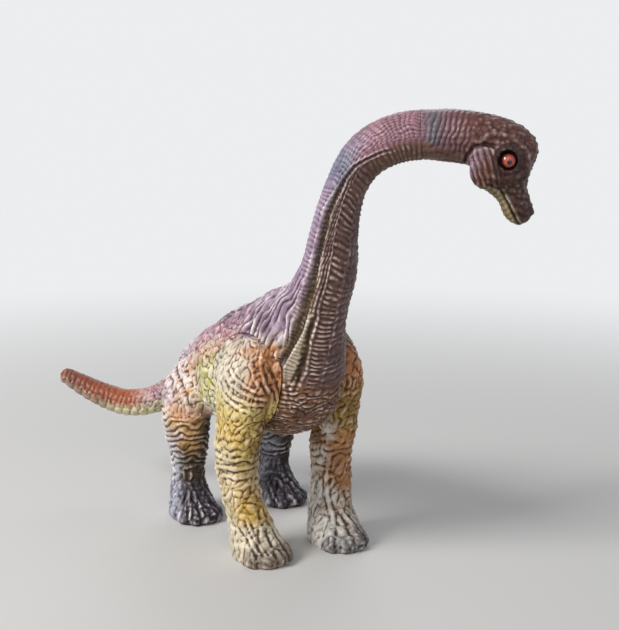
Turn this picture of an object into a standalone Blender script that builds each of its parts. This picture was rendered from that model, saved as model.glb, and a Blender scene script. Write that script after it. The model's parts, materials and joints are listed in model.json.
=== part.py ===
"""Toy dinosaur figure: a long-necked animal moulded in PVC, with plug-in limbs that turn.

The body is a hollow shell in two halves. The neck, the tail and the four legs each seat on it and are
held by a headed pin that passes through the shell's wall from inside. The head turns on the end of
the neck on a pin with a knob at each end. The animal faces -Y, its left side is +X, and it stands
on Z = 0.
"""
import math

import bmesh
import bpy
from mathutils import Matrix, Vector

# Driving dimensions of the body shell, in metres
TORSO_LENGTH = 0.0855
TORSO_DEPTH = 0.0514
TORSO_WIDTH = 0.0372
BELLY_HEIGHT = 0.0325
SHELL_WALL = 0.0022

# Driving dimensions of the legs
LEG_SPREAD = 0.0334
LEG_THICKNESS = 0.0142
FRONT_SEAT_RADIUS = 0.0160
HIND_SEAT_RADIUS = 0.0125

# Driving dimensions of the neck, the head and the tail
NECK_ROOT_RADIUS = 0.0089
NECK_REACH = 0.0287
NECK_RISE = 0.0456
HEAD_LENGTH = 0.0313
HEAD_DEPTH = 0.0310
HEAD_WIDTH = 0.0150
EYE_RADIUS = 0.0021
TAIL_ROOT_RADIUS = 0.0060
TAIL_REACH = 0.0490
TAIL_DROP = 0.0120

# The pins that hold the limbs
PIN_RADIUS = 0.0022
PIN_HEAD_RADIUS = 0.0038
PIN_HEAD_THICKNESS = 0.0015
PIN_KNOB_RADIUS = 0.0028
PIN_KNOB_LENGTH = 0.0022
PIN_GRIP = 0.0062
LOCATING_PEG_RADIUS = 0.0013
LOCATING_PEG_LENGTH = 0.0022

# Clearances between pieces
GAP = 0.0003
RUNNING_CLEARANCE = 0.0001
OVERRUN = 0.0100
WELD_DISTANCE = 0.0000005

# Angles at which the sculptor set the neck, the tail and their seats
NECK_TURN = math.radians(50)
NECK_SEAT_TILT = math.radians(24)
TAIL_TURN = math.radians(52)
TAIL_SEAT_TILT = math.radians(30)
HEAD_SEAT_TILT = math.radians(4)

# How finely round forms are cut
LOFT_SIDES = 24
PIN_SIDES = 16
SEAT_SIDES = 36
CHEEK_SIDES = 14
CHEEK_ROWS = 8
EYE_SIDES = 14
EYE_ROWS = 8
LOFT_STEPS = 2
HOLLOW_STEPS = 1
SHARP_ANGLE = math.radians(40)
FLAT_ANGLE = math.radians(0.5)

# Each body section runs from a point on the back to a point on the belly: place along the length from
# the chest, height above the belly, the same two for the belly's point, then the width
TORSO_SECTION_SHARES = (
    (0.92, 0.42, 0.90, 0.03, 0.68),
    (0.84, 0.51, 0.83, 0.01, 0.86),
    (0.74, 0.59, 0.73, 0.00, 0.94),
    (0.63, 0.685, 0.60, 0.00, 1.00),
    (0.50, 0.79, 0.47, 0.02, 1.00),
    (0.38, 0.865, 0.31, 0.05, 0.94),
    (0.32, 0.92, 0.19, 0.10, 0.85),
    (0.28, 0.94, 0.10, 0.23, 0.73),
    (0.25, 0.96, 0.05, 0.40, 0.61),
    (0.23, 0.97, 0.026, 0.58, 0.53),
    (0.215, 0.985, 0.013, 0.72, 0.49),
)
TORSO_ORIGIN_SHARE = 0.45
TORSO_ROUNDNESS = 2.3

# Seats on the body: place along the length and height, as shares of the same sizes
SHOULDER_ALONG_SHARE = 0.27
SHOULDER_HEIGHT_SHARE = 0.375
HIP_ALONG_SHARE = 0.743
HIP_HEIGHT_SHARE = 0.165
LEG_SEAT_SHARE = 0.55
NECK_SEAT_ALONG_SHARE = 0.102
NECK_SEAT_HEIGHT_SHARE = 0.93
NECK_SEAT_SIDE_SHARE = 0.08
TAIL_SEAT_ALONG_SHARE = 0.985
TAIL_SEAT_HEIGHT_SHARE = 0.17
TAIL_SEAT_SIDE_SHARE = -0.16

# Each leg section: height, then how far it lies forward (right leg, left leg), its distance from the
# middle, its thickness and its length fore and aft
FRONT_LEG_SHARES = (
    (0.00, 0.22, 0.31, 0.78, 1.08, 0.62),
    (0.05, 0.22, 0.31, 0.78, 1.10, 0.65),
    (0.13, 0.08, 0.17, 0.80, 0.96, 0.56),
    (0.22, 0.00, -0.06, 0.87, 0.84, 0.46),
    (0.36, -0.20, -0.16, 0.94, 0.80, 0.42),
    (0.50, -0.27, -0.23, 0.97, 0.82, 0.44),
    (0.62, -0.23, -0.20, 0.98, 0.86, 0.54),
    (0.72, -0.18, -0.16, 0.98, 0.87, 0.60),
    (0.82, -0.13, -0.14, 0.98, 0.86, 0.65),
    (0.93, -0.05, -0.08, 0.97, 0.85, 0.72),
    (1.06, 0.00, 0.00, 0.92, 0.82, 0.76),
    (1.19, 0.03, 0.03, 0.85, 0.66, 0.69),
    (1.30, 0.05, 0.05, 0.76, 0.42, 0.48),
)
HIND_LEG_SHARES = (
    (0.00, 0.22, 0.24, 0.95, 1.04, 0.76),
    (0.07, 0.23, 0.25, 0.95, 1.06, 0.79),
    (0.18, 0.00, 0.00, 0.95, 0.87, 0.57),
    (0.31, -0.12, -0.13, 0.95, 0.71, 0.50),
    (0.44, -0.06, -0.06, 0.96, 0.71, 0.53),
    (0.54, -0.02, -0.02, 0.97, 0.78, 0.60),
    (0.68, -0.03, -0.03, 0.99, 0.88, 0.77),
    (0.82, -0.02, -0.02, 1.00, 0.93, 0.86),
    (1.00, 0.00, 0.00, 0.98, 0.94, 0.95),
    (1.14, 0.00, 0.00, 0.92, 0.78, 0.80),
    (1.24, 0.00, 0.00, 0.85, 0.50, 0.48),
)
LEG_ROUNDNESS = 2.4
RELIEF_REACH_SHARE = 1.36
RELIEF_DEPTH_SHARES = (0.84, 0.50)
FRONT_TOES = 3
HIND_TOES = 4
TOE_FAN = math.radians(144)
TOE_SHARE = 0.10
TOE_HEIGHT_SHARE = 0.12

# The neck's centre line in the upright plane that it curves in: reach, rise and radius
NECK_PATH_SHARES = (
    (0.094, 0.158, 0.91),
    (0.134, 0.349, 0.79),
    (0.185, 0.524, 0.70),
    (0.263, 0.684, 0.65),
    (0.390, 0.831, 0.69),
    (0.577, 0.930, 0.74),
    (0.808, 0.985, 0.76),
    (1.000, 1.000, 0.77),
)

# The head's sections, in the same plane, from the seat on the neck to the tip of the snout: reach and
# height of the upper point, the same for the lower point, then the width
HEAD_SECTION_SHARES = (
    (0.20, 0.230, 0.20, -0.230, 0.92),
    (0.41, 0.215, 0.39, -0.255, 0.94),
    (0.55, 0.190, 0.455, -0.315, 0.96),
    (0.705, 0.150, 0.485, -0.405, 0.98),
    (0.85, 0.085, 0.545, -0.475, 0.96),
    (0.96, -0.010, 0.605, -0.520, 0.88),
    (1.00, -0.135, 0.65, -0.560, 0.75),
    (0.945, -0.290, 0.68, -0.600, 0.63),
    (0.91, -0.425, 0.70, -0.655, 0.57),
    (0.935, -0.565, 0.735, -0.720, 0.54),
    (0.955, -0.680, 0.80, -0.770, 0.44),
    (0.91, -0.750, 0.86, -0.785, 0.18),
)
CHEEK_PLACE_SHARES = (0.565, -0.285)
CHEEK_SIDE_SHARE = 0.62
CHEEK_SIZE_SHARES = (0.145, 0.185, 0.44)
EYE_PLACE_SHARES = (0.745, -0.21)
EYE_SIDE_SHARE = 0.82
SOCKET_SHARE = 1.55

# The tail's centre line in its own upright plane: reach, drop and radius
TAIL_PATH_SHARES = (
    (0.16, 0.42, 0.88),
    (0.33, 0.80, 0.80),
    (0.47, 0.90, 0.77),
    (0.58, 0.87, 0.74),
    (0.75, 0.62, 0.66),
    (0.88, 0.35, 0.56),
    (0.97, 0.16, 0.44),
    (1.00, 0.10, 0.25),
)

# Where the pegs sit that line up the two halves of the shell
PEG_PLACE_SHARES = ((0.84, 0.45), (0.57, 0.675), (0.105, 0.36), (0.55, 0.07))

UP = Vector((0, 0, 1))
LEFT = Vector((1, 0, 0))
FORWARD = Vector((0, -1, 0))


def clear_scene():
    """Remove everything that the file holds before building."""
    for item in list(bpy.data.objects):
        bpy.data.objects.remove(item, do_unlink=True)


def plastic(name, colour, roughness):
    """A painted PVC material."""
    material = bpy.data.materials.new(name)
    material.use_nodes = True
    shader = material.node_tree.nodes["Principled BSDF"]
    shader.inputs["Base Color"].default_value = (*colour, 1)
    shader.inputs["Roughness"].default_value = roughness
    shader.inputs["Metallic"].default_value = 0
    return material


def mesh_object(name, bm):
    """Turn a bmesh into an object of triangles whose faces point out."""
    bmesh.ops.recalc_face_normals(bm, faces=bm.faces)
    bmesh.ops.triangulate(bm, faces=bm.faces)
    mesh = bpy.data.meshes.new(name)
    bm.to_mesh(mesh)
    bm.free()
    item = bpy.data.objects.new(name, mesh)
    bpy.context.collection.objects.link(item)
    return item


def shape(target, tool, operation):
    """Apply an exact Boolean of the tool to the target, and remove the tool."""
    step = target.modifiers.new("cut", "BOOLEAN")
    step.operation = operation
    step.solver = "EXACT"
    step.object = tool
    graph = bpy.context.evaluated_depsgraph_get()
    graph.update()
    result = bpy.data.meshes.new_from_object(target.evaluated_get(graph))
    target.modifiers.clear()
    target.data = result
    bpy.data.objects.remove(tool, do_unlink=True)
    weld(target)
    return target


def weld(item):
    """Join points that a cut left almost together, merge flat faces, and end with triangles."""
    bm = bmesh.new()
    bm.from_mesh(item.data)
    bmesh.ops.triangulate(bm, faces=bm.faces)
    bmesh.ops.remove_doubles(bm, verts=bm.verts, dist=WELD_DISTANCE)
    bmesh.ops.dissolve_degenerate(bm, edges=bm.edges, dist=WELD_DISTANCE)
    bmesh.ops.dissolve_limit(bm, angle_limit=FLAT_ANGLE, verts=bm.verts, edges=bm.edges)
    bmesh.ops.triangulate(bm, faces=bm.faces)
    bm.to_mesh(item.data)
    bm.free()


def copy_of(item, name):
    """A second object with a mesh of its own."""
    twin = bpy.data.objects.new(name, item.data.copy())
    bpy.context.collection.objects.link(twin)
    return twin


def curve_through(rows, steps):
    """Smooth rows of numbers: Catmull-Rom points between each pair of rows."""
    vectors = [Vector(row) for row in rows]
    smooth = []
    for index in range(len(vectors) - 1):
        before = vectors[max(index - 1, 0)]
        start, end = vectors[index], vectors[index + 1]
        after = vectors[min(index + 2, len(vectors) - 1)]
        for step in range(steps):
            t = step / steps
            bend = (2 * start + (end - before) * t + (2 * before - 5 * start + 4 * end - after) * t * t
                    + (3 * start - before - 3 * end + after) * t ** 3)
            smooth.append(bend / 2)
    smooth.append(vectors[-1])
    return smooth


def toe_swell(angle, toes):
    """How far a foot's outline swells at an angle round it, where forward is a quarter turn."""
    from_front = (angle - math.pi / 2 + math.pi) % math.tau - math.pi
    if abs(from_front) > TOE_FAN / 2:
        return 0
    return TOE_SHARE * (1 - math.cos(math.tau * toes * (from_front / TOE_FAN + 1 / 2))) / 2


def ring_points(section, sides):
    """The points of one loft section: a superellipse about its centre."""
    centre, side, rise, roundness, toes = section
    points = []
    for index in range(sides):
        angle = math.tau * index / sides
        c, s = math.cos(angle), math.sin(angle)
        across = math.copysign(abs(c) ** (2 / roundness), c)
        along = math.copysign(abs(s) ** (2 / roundness), s)
        swell = 1 + (toe_swell(angle, toes) if toes else 0)
        points.append(centre + (side * across + rise * along) * swell)
    return points


def loft(name, sections, sides=LOFT_SIDES):
    """A closed solid through a list of sections."""
    bm = bmesh.new()
    rings = [[bm.verts.new(point) for point in ring_points(section, sides)] for section in sections]
    for lower, upper in zip(rings, rings[1:]):
        for index in range(sides):
            following = (index + 1) % sides
            bm.faces.new((lower[index], lower[following], upper[following], upper[index]))
    bm.faces.new(rings[0])
    bm.faces.new(rings[-1])
    return mesh_object(name, bm)


def axis_frame(origin, axis):
    """The matrix that puts local +Z along an axis at a point."""
    return Matrix.Translation(origin) @ axis.to_track_quat("Z", "Y").to_matrix().to_4x4()


def turned(name, profile, origin, axis, sides=PIN_SIDES):
    """A solid of revolution from (height, radius) pairs along an axis."""
    bm = bmesh.new()
    place = axis_frame(origin, axis)
    rings = []
    for height, radius in profile:
        ring = []
        for index in range(sides):
            angle = math.tau * index / sides
            local = Vector((radius * math.cos(angle), radius * math.sin(angle), height))
            ring.append(bm.verts.new(place @ local))
        rings.append(ring)
    for lower, upper in zip(rings, rings[1:]):
        for index in range(sides):
            following = (index + 1) % sides
            bm.faces.new((lower[index], lower[following], upper[following], upper[index]))
    bm.faces.new(rings[0])
    bm.faces.new(rings[-1])
    return mesh_object(name, bm)


def disc(name, origin, axis, radius, start, end):
    """A plain cylinder between two distances along an axis."""
    return turned(name, ((start, radius), (end, radius)), origin, axis, SEAT_SIDES)


def block(name, low, high):
    """A box between two corners."""
    bm = bmesh.new()
    bmesh.ops.create_cube(bm, size=1)
    size, middle = high - low, (high + low) / 2
    bmesh.ops.transform(bm, verts=bm.verts,
                        matrix=Matrix.Translation(middle) @ Matrix.Diagonal((*size, 1)))
    return mesh_object(name, bm)


def ellipsoid(name, place, sizes, sides, rows):
    """A ball stretched along the axes of a placing matrix."""
    bm = bmesh.new()
    bmesh.ops.create_uvsphere(bm, u_segments=sides, v_segments=rows, radius=1)
    bmesh.ops.transform(bm, verts=bm.verts, matrix=place @ Matrix.Diagonal((*sizes, 1)))
    return mesh_object(name, bm)


def torso_point(along_share, height_share, side_share=0):
    """A point in the body's middle plane, or beside it by a share of half its width."""
    return Vector((side_share * TORSO_WIDTH / 2,
                   (along_share - TORSO_ORIGIN_SHARE) * TORSO_LENGTH,
                   BELLY_HEIGHT + height_share * TORSO_DEPTH))


def upright_plane(turn, towards):
    """The outward and sideways directions of an upright plane turned away from the middle."""
    outward = Matrix.Rotation(turn, 3, "Z") @ towards
    return outward, UP.cross(outward)


NECK_OUT, NECK_SIDE = upright_plane(NECK_TURN, FORWARD)
TAIL_OUT, TAIL_SIDE = upright_plane(TAIL_TURN, -FORWARD)
NECK_SEAT = torso_point(NECK_SEAT_ALONG_SHARE, NECK_SEAT_HEIGHT_SHARE, NECK_SEAT_SIDE_SHARE)
NECK_AXIS = (UP * math.cos(NECK_SEAT_TILT) + FORWARD * math.sin(NECK_SEAT_TILT)).normalized()
TAIL_SEAT = torso_point(TAIL_SEAT_ALONG_SHARE, TAIL_SEAT_HEIGHT_SHARE, TAIL_SEAT_SIDE_SHARE)
TAIL_AXIS = (TAIL_OUT * math.cos(TAIL_SEAT_TILT) - UP * math.sin(TAIL_SEAT_TILT)).normalized()
HEAD_SEAT = NECK_SEAT + NECK_OUT * NECK_REACH + UP * NECK_RISE
HEAD_RADIUS = NECK_ROOT_RADIUS * NECK_PATH_SHARES[-1][-1]
HEAD_AXIS = (NECK_OUT * math.cos(HEAD_SEAT_TILT) + UP * math.sin(HEAD_SEAT_TILT)).normalized()


def seat_section(centre, axis, side, radius):
    """A round section square to a seat's axis."""
    across = (side - axis * side.dot(axis)).normalized()
    return (centre, across * radius, axis.cross(across) * radius, 2, 0)


def torso_sections(inset=0):
    """The body's sections between the tail's seat and the neck's seat, drawn in by a wall."""
    sections = []
    steps = HOLLOW_STEPS if inset else LOFT_STEPS
    for top, top_height, low, low_height, width in curve_through(TORSO_SECTION_SHARES, steps):
        upper, lower = torso_point(top, top_height), torso_point(low, low_height)
        rise = (upper - lower) / 2
        sections.append((upper - rise, LEFT * (width * TORSO_WIDTH / 2 - inset),
                         rise * (1 - inset / rise.length), TORSO_ROUNDNESS, 0))
    return sections


def leg_seat(along_share, height_share, sign):
    """The centre of a leg's seat, on the flat that it turns on."""
    return torso_point(along_share, height_share, sign * LEG_SEAT_SHARE)


def leg_sections(rows, seat, sign, seat_radius, column, toes):
    """A leg's sections from the sole up to the top of the shoulder or thigh."""
    sections = []
    for row in curve_through(rows_of_leg(rows, column), LOFT_STEPS):
        height, ahead, out, thickness, length = row
        centre = Vector((sign * out * LEG_SPREAD / 2, seat.y - ahead * seat_radius, height * seat.z))
        sections.append((centre, LEFT * (thickness * LEG_THICKNESS / 2),
                         FORWARD * (length * seat_radius), LEG_ROUNDNESS,
                         toes if height < TOE_HEIGHT_SHARE else 0))
    return sections


def rows_of_leg(rows, column):
    """One side's rows of a leg table: height, forward place, distance out, thickness and length."""
    return [(row[0], row[column], *row[3:]) for row in rows]


def pin_profile(clearance, start):
    """The shank and the knob of a pin, grown by a clearance, from a height below the seat."""
    neck_of_knob = PIN_GRIP - PIN_KNOB_LENGTH
    return [(start, PIN_RADIUS + clearance),
            (neck_of_knob - clearance, PIN_RADIUS + clearance),
            (neck_of_knob + PIN_KNOB_LENGTH / 3 - clearance, PIN_KNOB_RADIUS + clearance),
            (PIN_GRIP - PIN_KNOB_LENGTH / 3 + clearance, PIN_KNOB_RADIUS + clearance),
            (PIN_GRIP + clearance, PIN_RADIUS / 2 + clearance)]


def pin_room():
    """The room that a headed pin needs in the shell: space for its head, then its hole."""
    wide, narrow = PIN_HEAD_RADIUS + GAP, PIN_RADIUS + RUNNING_CLEARANCE
    step = -SHELL_WALL - GAP / 2
    return [(step - PIN_HEAD_THICKNESS - GAP * 2, wide), (step, wide), (step, narrow), (GAP, narrow)]


def headed_pin(name, seat, axis):
    """A pin whose head bears on the inside of the shell's wall."""
    under_head = -SHELL_WALL - GAP
    head = [(under_head - PIN_HEAD_THICKNESS, PIN_HEAD_RADIUS), (under_head, PIN_HEAD_RADIUS)]
    return turned(name, head + pin_profile(0, under_head), seat, axis)


def double_pin(name, seat, axis):
    """A pin with a knob at each end, for a joint between two solid pieces."""
    half = pin_profile(0, 0)[1:]
    other = [(-height, radius) for height, radius in reversed(half)]
    return turned(name, other + half, seat, axis)


def cut_socket(piece, seat, axis):
    """Cut the socket that a pin's shank and knob sit in."""
    return shape(piece, turned("socket", pin_profile(RUNNING_CLEARANCE, -OVERRUN), seat, axis),
                 "DIFFERENCE")


def body_form(name, inset=0):
    """The body's outer form, or its hollow when drawn in by the wall."""
    tail_end = seat_section(TAIL_SEAT, -TAIL_AXIS, LEFT, TAIL_ROOT_RADIUS - inset)
    neck_end = seat_section(NECK_SEAT, NECK_AXIS, LEFT, NECK_ROOT_RADIUS - inset)
    return loft(name, [tail_end, *torso_sections(inset), neck_end])


def seats():
    """Every seat on the body: name, centre, outward axis and radius."""
    table = [("neck", NECK_SEAT, NECK_AXIS, NECK_ROOT_RADIUS),
             ("tail", TAIL_SEAT, TAIL_AXIS, TAIL_ROOT_RADIUS)]
    for side, sign in (("right", -1), ("left", 1)):
        table.append(("front_leg_" + side,
                      leg_seat(SHOULDER_ALONG_SHARE, SHOULDER_HEIGHT_SHARE, sign),
                      LEFT * sign, FRONT_SEAT_RADIUS))
        table.append(("hind_leg_" + side, leg_seat(HIP_ALONG_SHARE, HIP_HEIGHT_SHARE, sign),
                      LEFT * sign, HIND_SEAT_RADIUS))
    return table


def hollow_form(pegs):
    """The space inside the body, kept off every seat and peg, with the pins' holes added."""
    hollow = body_form("hollow", SHELL_WALL)
    for name, centre, axis, radius in seats():
        shape(hollow, disc("boss", centre, axis, radius + SHELL_WALL, -SHELL_WALL, OVERRUN),
              "DIFFERENCE")
        shape(hollow, turned("pin_room", pin_room(), centre, axis), "UNION")
    boss_length = LOCATING_PEG_LENGTH + SHELL_WALL
    for place in pegs:
        shape(hollow, disc("peg_boss", place, LEFT, LOCATING_PEG_RADIUS + SHELL_WALL / 2,
                           -boss_length, boss_length), "DIFFERENCE")
    return hollow


def shell_halves():
    """The hollow body, cut into two halves that line up on pegs."""
    body = body_form("body")
    for name, centre, axis, radius in seats():
        if name not in ("neck", "tail"):
            shape(body, disc("recess", centre, axis, radius + GAP, 0, OVERRUN), "DIFFERENCE")
    pegs = [torso_point(*place) for place in PEG_PLACE_SHARES]
    shape(body, hollow_form(pegs), "DIFFERENCE")
    halves = []
    reach = Vector((TORSO_WIDTH, TORSO_LENGTH, TORSO_DEPTH + BELLY_HEIGHT)) * 2
    for side, sign in (("right", -1), ("left", 1)):
        half = copy_of(body, "torso_shell_" + side)
        low = Vector((GAP / 2 if sign > 0 else -reach.x, -reach.y, -reach.z))
        high = Vector((reach.x if sign > 0 else -GAP / 2, reach.y, reach.z))
        shape(half, block("half_space", low, high), "INTERSECT")
        halves.append(half)
    right, left = halves
    for place in pegs:
        shape(right, disc("peg", place, LEFT, LOCATING_PEG_RADIUS,
                          -LOCATING_PEG_LENGTH, LOCATING_PEG_LENGTH), "UNION")
        shape(left, disc("peg_hole", place, LEFT, LOCATING_PEG_RADIUS + RUNNING_CLEARANCE,
                         -GAP, LOCATING_PEG_LENGTH + GAP), "DIFFERENCE")
    bpy.data.objects.remove(body, do_unlink=True)
    return right, left


def leg(name, seat, axis, seat_radius, rows, column, toes):
    """A leg whose round shoulder or thigh carries on the body's own surface."""
    sign = math.copysign(1, axis.x)
    piece = loft(name, leg_sections(rows, seat, sign, seat_radius, column, toes))
    flank = shape(body_form("flank"), disc("seat", seat, axis, seat_radius, 0, OVERRUN), "INTERSECT")
    shape(piece, flank, "UNION")
    far = Vector((OVERRUN, seat_radius, seat_radius)) * 2
    above = block("above", seat - Vector((far.x, far.y, 0)), seat + far)
    shape(above, disc("round", seat, axis, seat_radius + RUNNING_CLEARANCE, -far.x * 2, far.x * 2),
          "DIFFERENCE")
    shape(piece, above, "DIFFERENCE")
    inner = sorted((0, seat.x + sign * GAP))
    shape(piece, block("inside", Vector((inner[0], seat.y - far.y, BELLY_HEIGHT)),
                       Vector((inner[1], seat.y + far.y, seat.z + far.z))), "DIFFERENCE")
    return cut_socket(piece, seat, axis)


def swing_relief(seat, axis, radius):
    """The ring round a leg's seat that the leg is cut back from, so that it swings over the flank."""
    proud = (1 - LEG_SEAT_SHARE) * TORSO_WIDTH / 2
    deep, shallow = (share * proud for share in RELIEF_DEPTH_SHARES)
    ring = turned("relief", ((-OVERRUN, radius * RELIEF_REACH_SHARE),
                             (shallow, radius * RELIEF_REACH_SHARE), (deep, radius)),
                  seat, axis, SEAT_SIDES)
    return shape(ring, disc("kept", seat, axis, radius + RUNNING_CLEARANCE, -OVERRUN * 2, OVERRUN),
                 "DIFFERENCE")


def path_sections(seat, axis, outward, side, radius, rows, reach, rise):
    """Round sections along a curved limb, square to its centre line."""
    points = [(seat, radius)]
    for out, up, share in rows:
        points.append((seat + outward * (out * reach) + UP * (up * rise), share * radius))
    table = curve_through([(*point, size) for point, size in points], LOFT_STEPS)
    sections = [seat_section(seat + axis * GAP, axis, side, radius)]
    for index in range(1, len(table)):
        here = Vector(table[index][:3])
        ahead = Vector(table[min(index + 1, len(table) - 1)][:3])
        behind = Vector(table[index - 1][:3])
        along = (ahead - behind).normalized()
        size = table[index][3]
        sections.append((here, side * size, along.cross(side) * size, 2, 0))
    return sections


def neck():
    """The neck, from its seat on the shell to the head's seat."""
    sections = path_sections(NECK_SEAT, NECK_AXIS, NECK_OUT, NECK_SIDE, NECK_ROOT_RADIUS,
                             NECK_PATH_SHARES, NECK_REACH, NECK_RISE)
    sections[-1] = seat_section(HEAD_SEAT, HEAD_AXIS, NECK_SIDE, HEAD_RADIUS)
    piece = loft("neck", sections)
    cut_socket(piece, NECK_SEAT, NECK_AXIS)
    return cut_socket(piece, HEAD_SEAT, -HEAD_AXIS)


def tail():
    """The tail, which dips from its seat and lifts towards a blunt tip."""
    piece = loft("tail", path_sections(TAIL_SEAT, TAIL_AXIS, TAIL_OUT, TAIL_SIDE, TAIL_ROOT_RADIUS,
                                       TAIL_PATH_SHARES, TAIL_REACH, -TAIL_DROP))
    return cut_socket(piece, TAIL_SEAT, TAIL_AXIS)


def head_point(reach_share, height_share, side_share=0):
    """A point of the head, in the neck's upright plane or beside it."""
    return (HEAD_SEAT + NECK_OUT * (reach_share * HEAD_LENGTH) + UP * (height_share * HEAD_DEPTH)
            + NECK_SIDE * (side_share * HEAD_WIDTH / 2))


def head():
    """The head, with a bulging cheek and an eye socket on each side."""
    sections = [seat_section(HEAD_SEAT + HEAD_AXIS * GAP, HEAD_AXIS, NECK_SIDE, HEAD_RADIUS)]
    for row in curve_through(HEAD_SECTION_SHARES, LOFT_STEPS):
        upper, lower = head_point(row[0], row[1]), head_point(row[2], row[3])
        sections.append(((upper + lower) / 2, NECK_SIDE * (row[4] * HEAD_WIDTH / 2),
                         (upper - lower) / 2, 2, 0))
    piece = loft("head", sections)
    facing = Matrix((NECK_OUT, NECK_SIDE, UP)).transposed().to_4x4()
    sizes = (CHEEK_SIZE_SHARES[0] * HEAD_LENGTH, CHEEK_SIZE_SHARES[2] * HEAD_WIDTH / 2,
             CHEEK_SIZE_SHARES[1] * HEAD_DEPTH)
    for sign in (-1, 1):
        centre = head_point(*CHEEK_PLACE_SHARES, sign * CHEEK_SIDE_SHARE)
        cheek = ellipsoid("cheek", Matrix.Translation(centre) @ facing, sizes, CHEEK_SIDES, CHEEK_ROWS)
        shape(piece, cheek, "UNION")
    socket_radius = EYE_RADIUS * SOCKET_SHARE
    for sign in (-1, 1):
        eye = eye_centre(sign)
        mouth_of_socket = eye + NECK_SIDE * (sign * EYE_RADIUS)
        for centre, radius in ((mouth_of_socket, socket_radius), (eye, EYE_RADIUS + GAP)):
            hollow = ellipsoid("eye_hollow", Matrix.Translation(centre) @ facing, (radius,) * 3,
                               EYE_SIDES, EYE_ROWS)
            shape(piece, hollow, "DIFFERENCE")
    return cut_socket(piece, HEAD_SEAT, HEAD_AXIS)


def eye_centre(sign):
    """The centre of an eye, on the left for a positive sign."""
    return head_point(*EYE_PLACE_SHARES, sign * EYE_SIDE_SHARE)


def place_on(items, pivot_name, pivot, parent, parent_place):
    """Give pieces an empty on their joint as their parent."""
    holder = bpy.data.objects.new(pivot_name, None)
    holder.empty_display_size = PIN_HEAD_RADIUS
    bpy.context.collection.objects.link(holder)
    holder.location = pivot - parent_place
    holder.parent = parent
    for item in items:
        item.data.transform(Matrix.Translation(-pivot))
        item.parent = holder
    return holder


def finish(item, material):
    """Give a piece its material and smooth shading with sharp edges kept."""
    item.data.materials.clear()
    item.data.materials.append(material)
    item.data.shade_smooth()
    item.data.set_sharp_from_angle(angle=SHARP_ANGLE)


def stand_on_floor(root, items):
    """Move the root so that the figure stands on the floor with its box centred."""
    corners = [vertex.co for item in items for vertex in item.data.vertices]
    low = Vector([min(corner[axis] for corner in corners) for axis in range(3)])
    high = Vector([max(corner[axis] for corner in corners) for axis in range(3)])
    root.location = Vector((-(low.x + high.x) / 2, -(low.y + high.y) / 2, -low.z))


def build():
    """Make every piece and hang it on the body or on its joint."""
    clear_scene()
    paint = {
        "flank": plastic("mauve_and_olive_pvc", (0.42, 0.30, 0.22), 0.45),
        "neck": plastic("mauve_pvc", (0.30, 0.18, 0.20), 0.45),
        "head": plastic("dark_mauve_pvc", (0.17, 0.10, 0.10), 0.45),
        "tail": plastic("terracotta_pvc", (0.38, 0.18, 0.13), 0.45),
        "front": plastic("yellow_ochre_pvc", (0.55, 0.43, 0.17), 0.45),
        "hind": plastic("brown_pvc", (0.25, 0.18, 0.13), 0.45),
        "pin": plastic("natural_plastic", (0.62, 0.60, 0.55), 0.4),
        "eye": plastic("orange_gloss", (0.80, 0.16, 0.06), 0.12),
    }
    groups = {}
    table = {name: (centre, axis, radius) for name, centre, axis, radius in seats()}
    groups["body"] = (shell_halves(), None, paint["flank"])
    groups["neck"] = ((neck(),), NECK_SEAT, paint["neck"])
    groups["tail"] = ((tail(),), TAIL_SEAT, paint["tail"])
    for name, (centre, axis, radius) in table.items():
        column = 2 if name.endswith("left") else 1
        if name.startswith("front"):
            piece = leg(name, centre, axis, radius, FRONT_LEG_SHARES, column, FRONT_TOES)
            shape(piece, swing_relief(centre, axis, radius), "DIFFERENCE")
            groups[name] = ((piece,), centre, paint["front"])
        elif name.startswith("hind"):
            piece = leg(name, centre, axis, radius, HIND_LEG_SHARES, column, HIND_TOES)
            groups[name] = ((piece,), centre, paint["hind"])
    pins = {name: headed_pin(name + "_pin", centre, axis)
            for name, (centre, axis, _) in table.items()}
    head_piece = head()
    head_pin = double_pin("head_pin", HEAD_SEAT, HEAD_AXIS)
    eyes = [ellipsoid("eye_" + side, axis_frame(eye_centre(sign), NECK_SIDE), (EYE_RADIUS,) * 3,
                      EYE_SIDES, EYE_ROWS) for side, sign in (("right", -1), ("left", 1))]

    everything = [item for items, _, _ in groups.values() for item in items]
    everything += [*pins.values(), head_piece, head_pin, *eyes]
    root = bpy.data.objects.new("figure", None)
    bpy.context.collection.objects.link(root)
    stand_on_floor(root, everything)
    for name, (items, pivot, material) in groups.items():
        for item in items:
            finish(item, material)
        if pivot is None:
            for item in items:
                item.parent = root
            continue
        finish(pins[name], paint["pin"])
        holder = place_on([*items, pins[name]], name + "_pivot", pivot, root, Vector())
        if name == "neck":
            finish(head_piece, paint["head"])
            finish(head_pin, paint["pin"])
            for eye in eyes:
                finish(eye, paint["eye"])
            place_on([head_piece, head_pin, *eyes], "head_pivot", HEAD_SEAT, holder, pivot)


build()
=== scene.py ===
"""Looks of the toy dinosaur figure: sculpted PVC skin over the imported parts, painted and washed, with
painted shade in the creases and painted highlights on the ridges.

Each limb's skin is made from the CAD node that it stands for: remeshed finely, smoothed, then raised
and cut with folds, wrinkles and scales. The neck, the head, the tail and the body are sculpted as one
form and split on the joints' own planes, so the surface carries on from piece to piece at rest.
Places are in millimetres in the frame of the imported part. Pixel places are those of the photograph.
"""

import json
import math

import bmesh
import bpy
import numpy as np
from mathutils import Matrix, Vector


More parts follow.
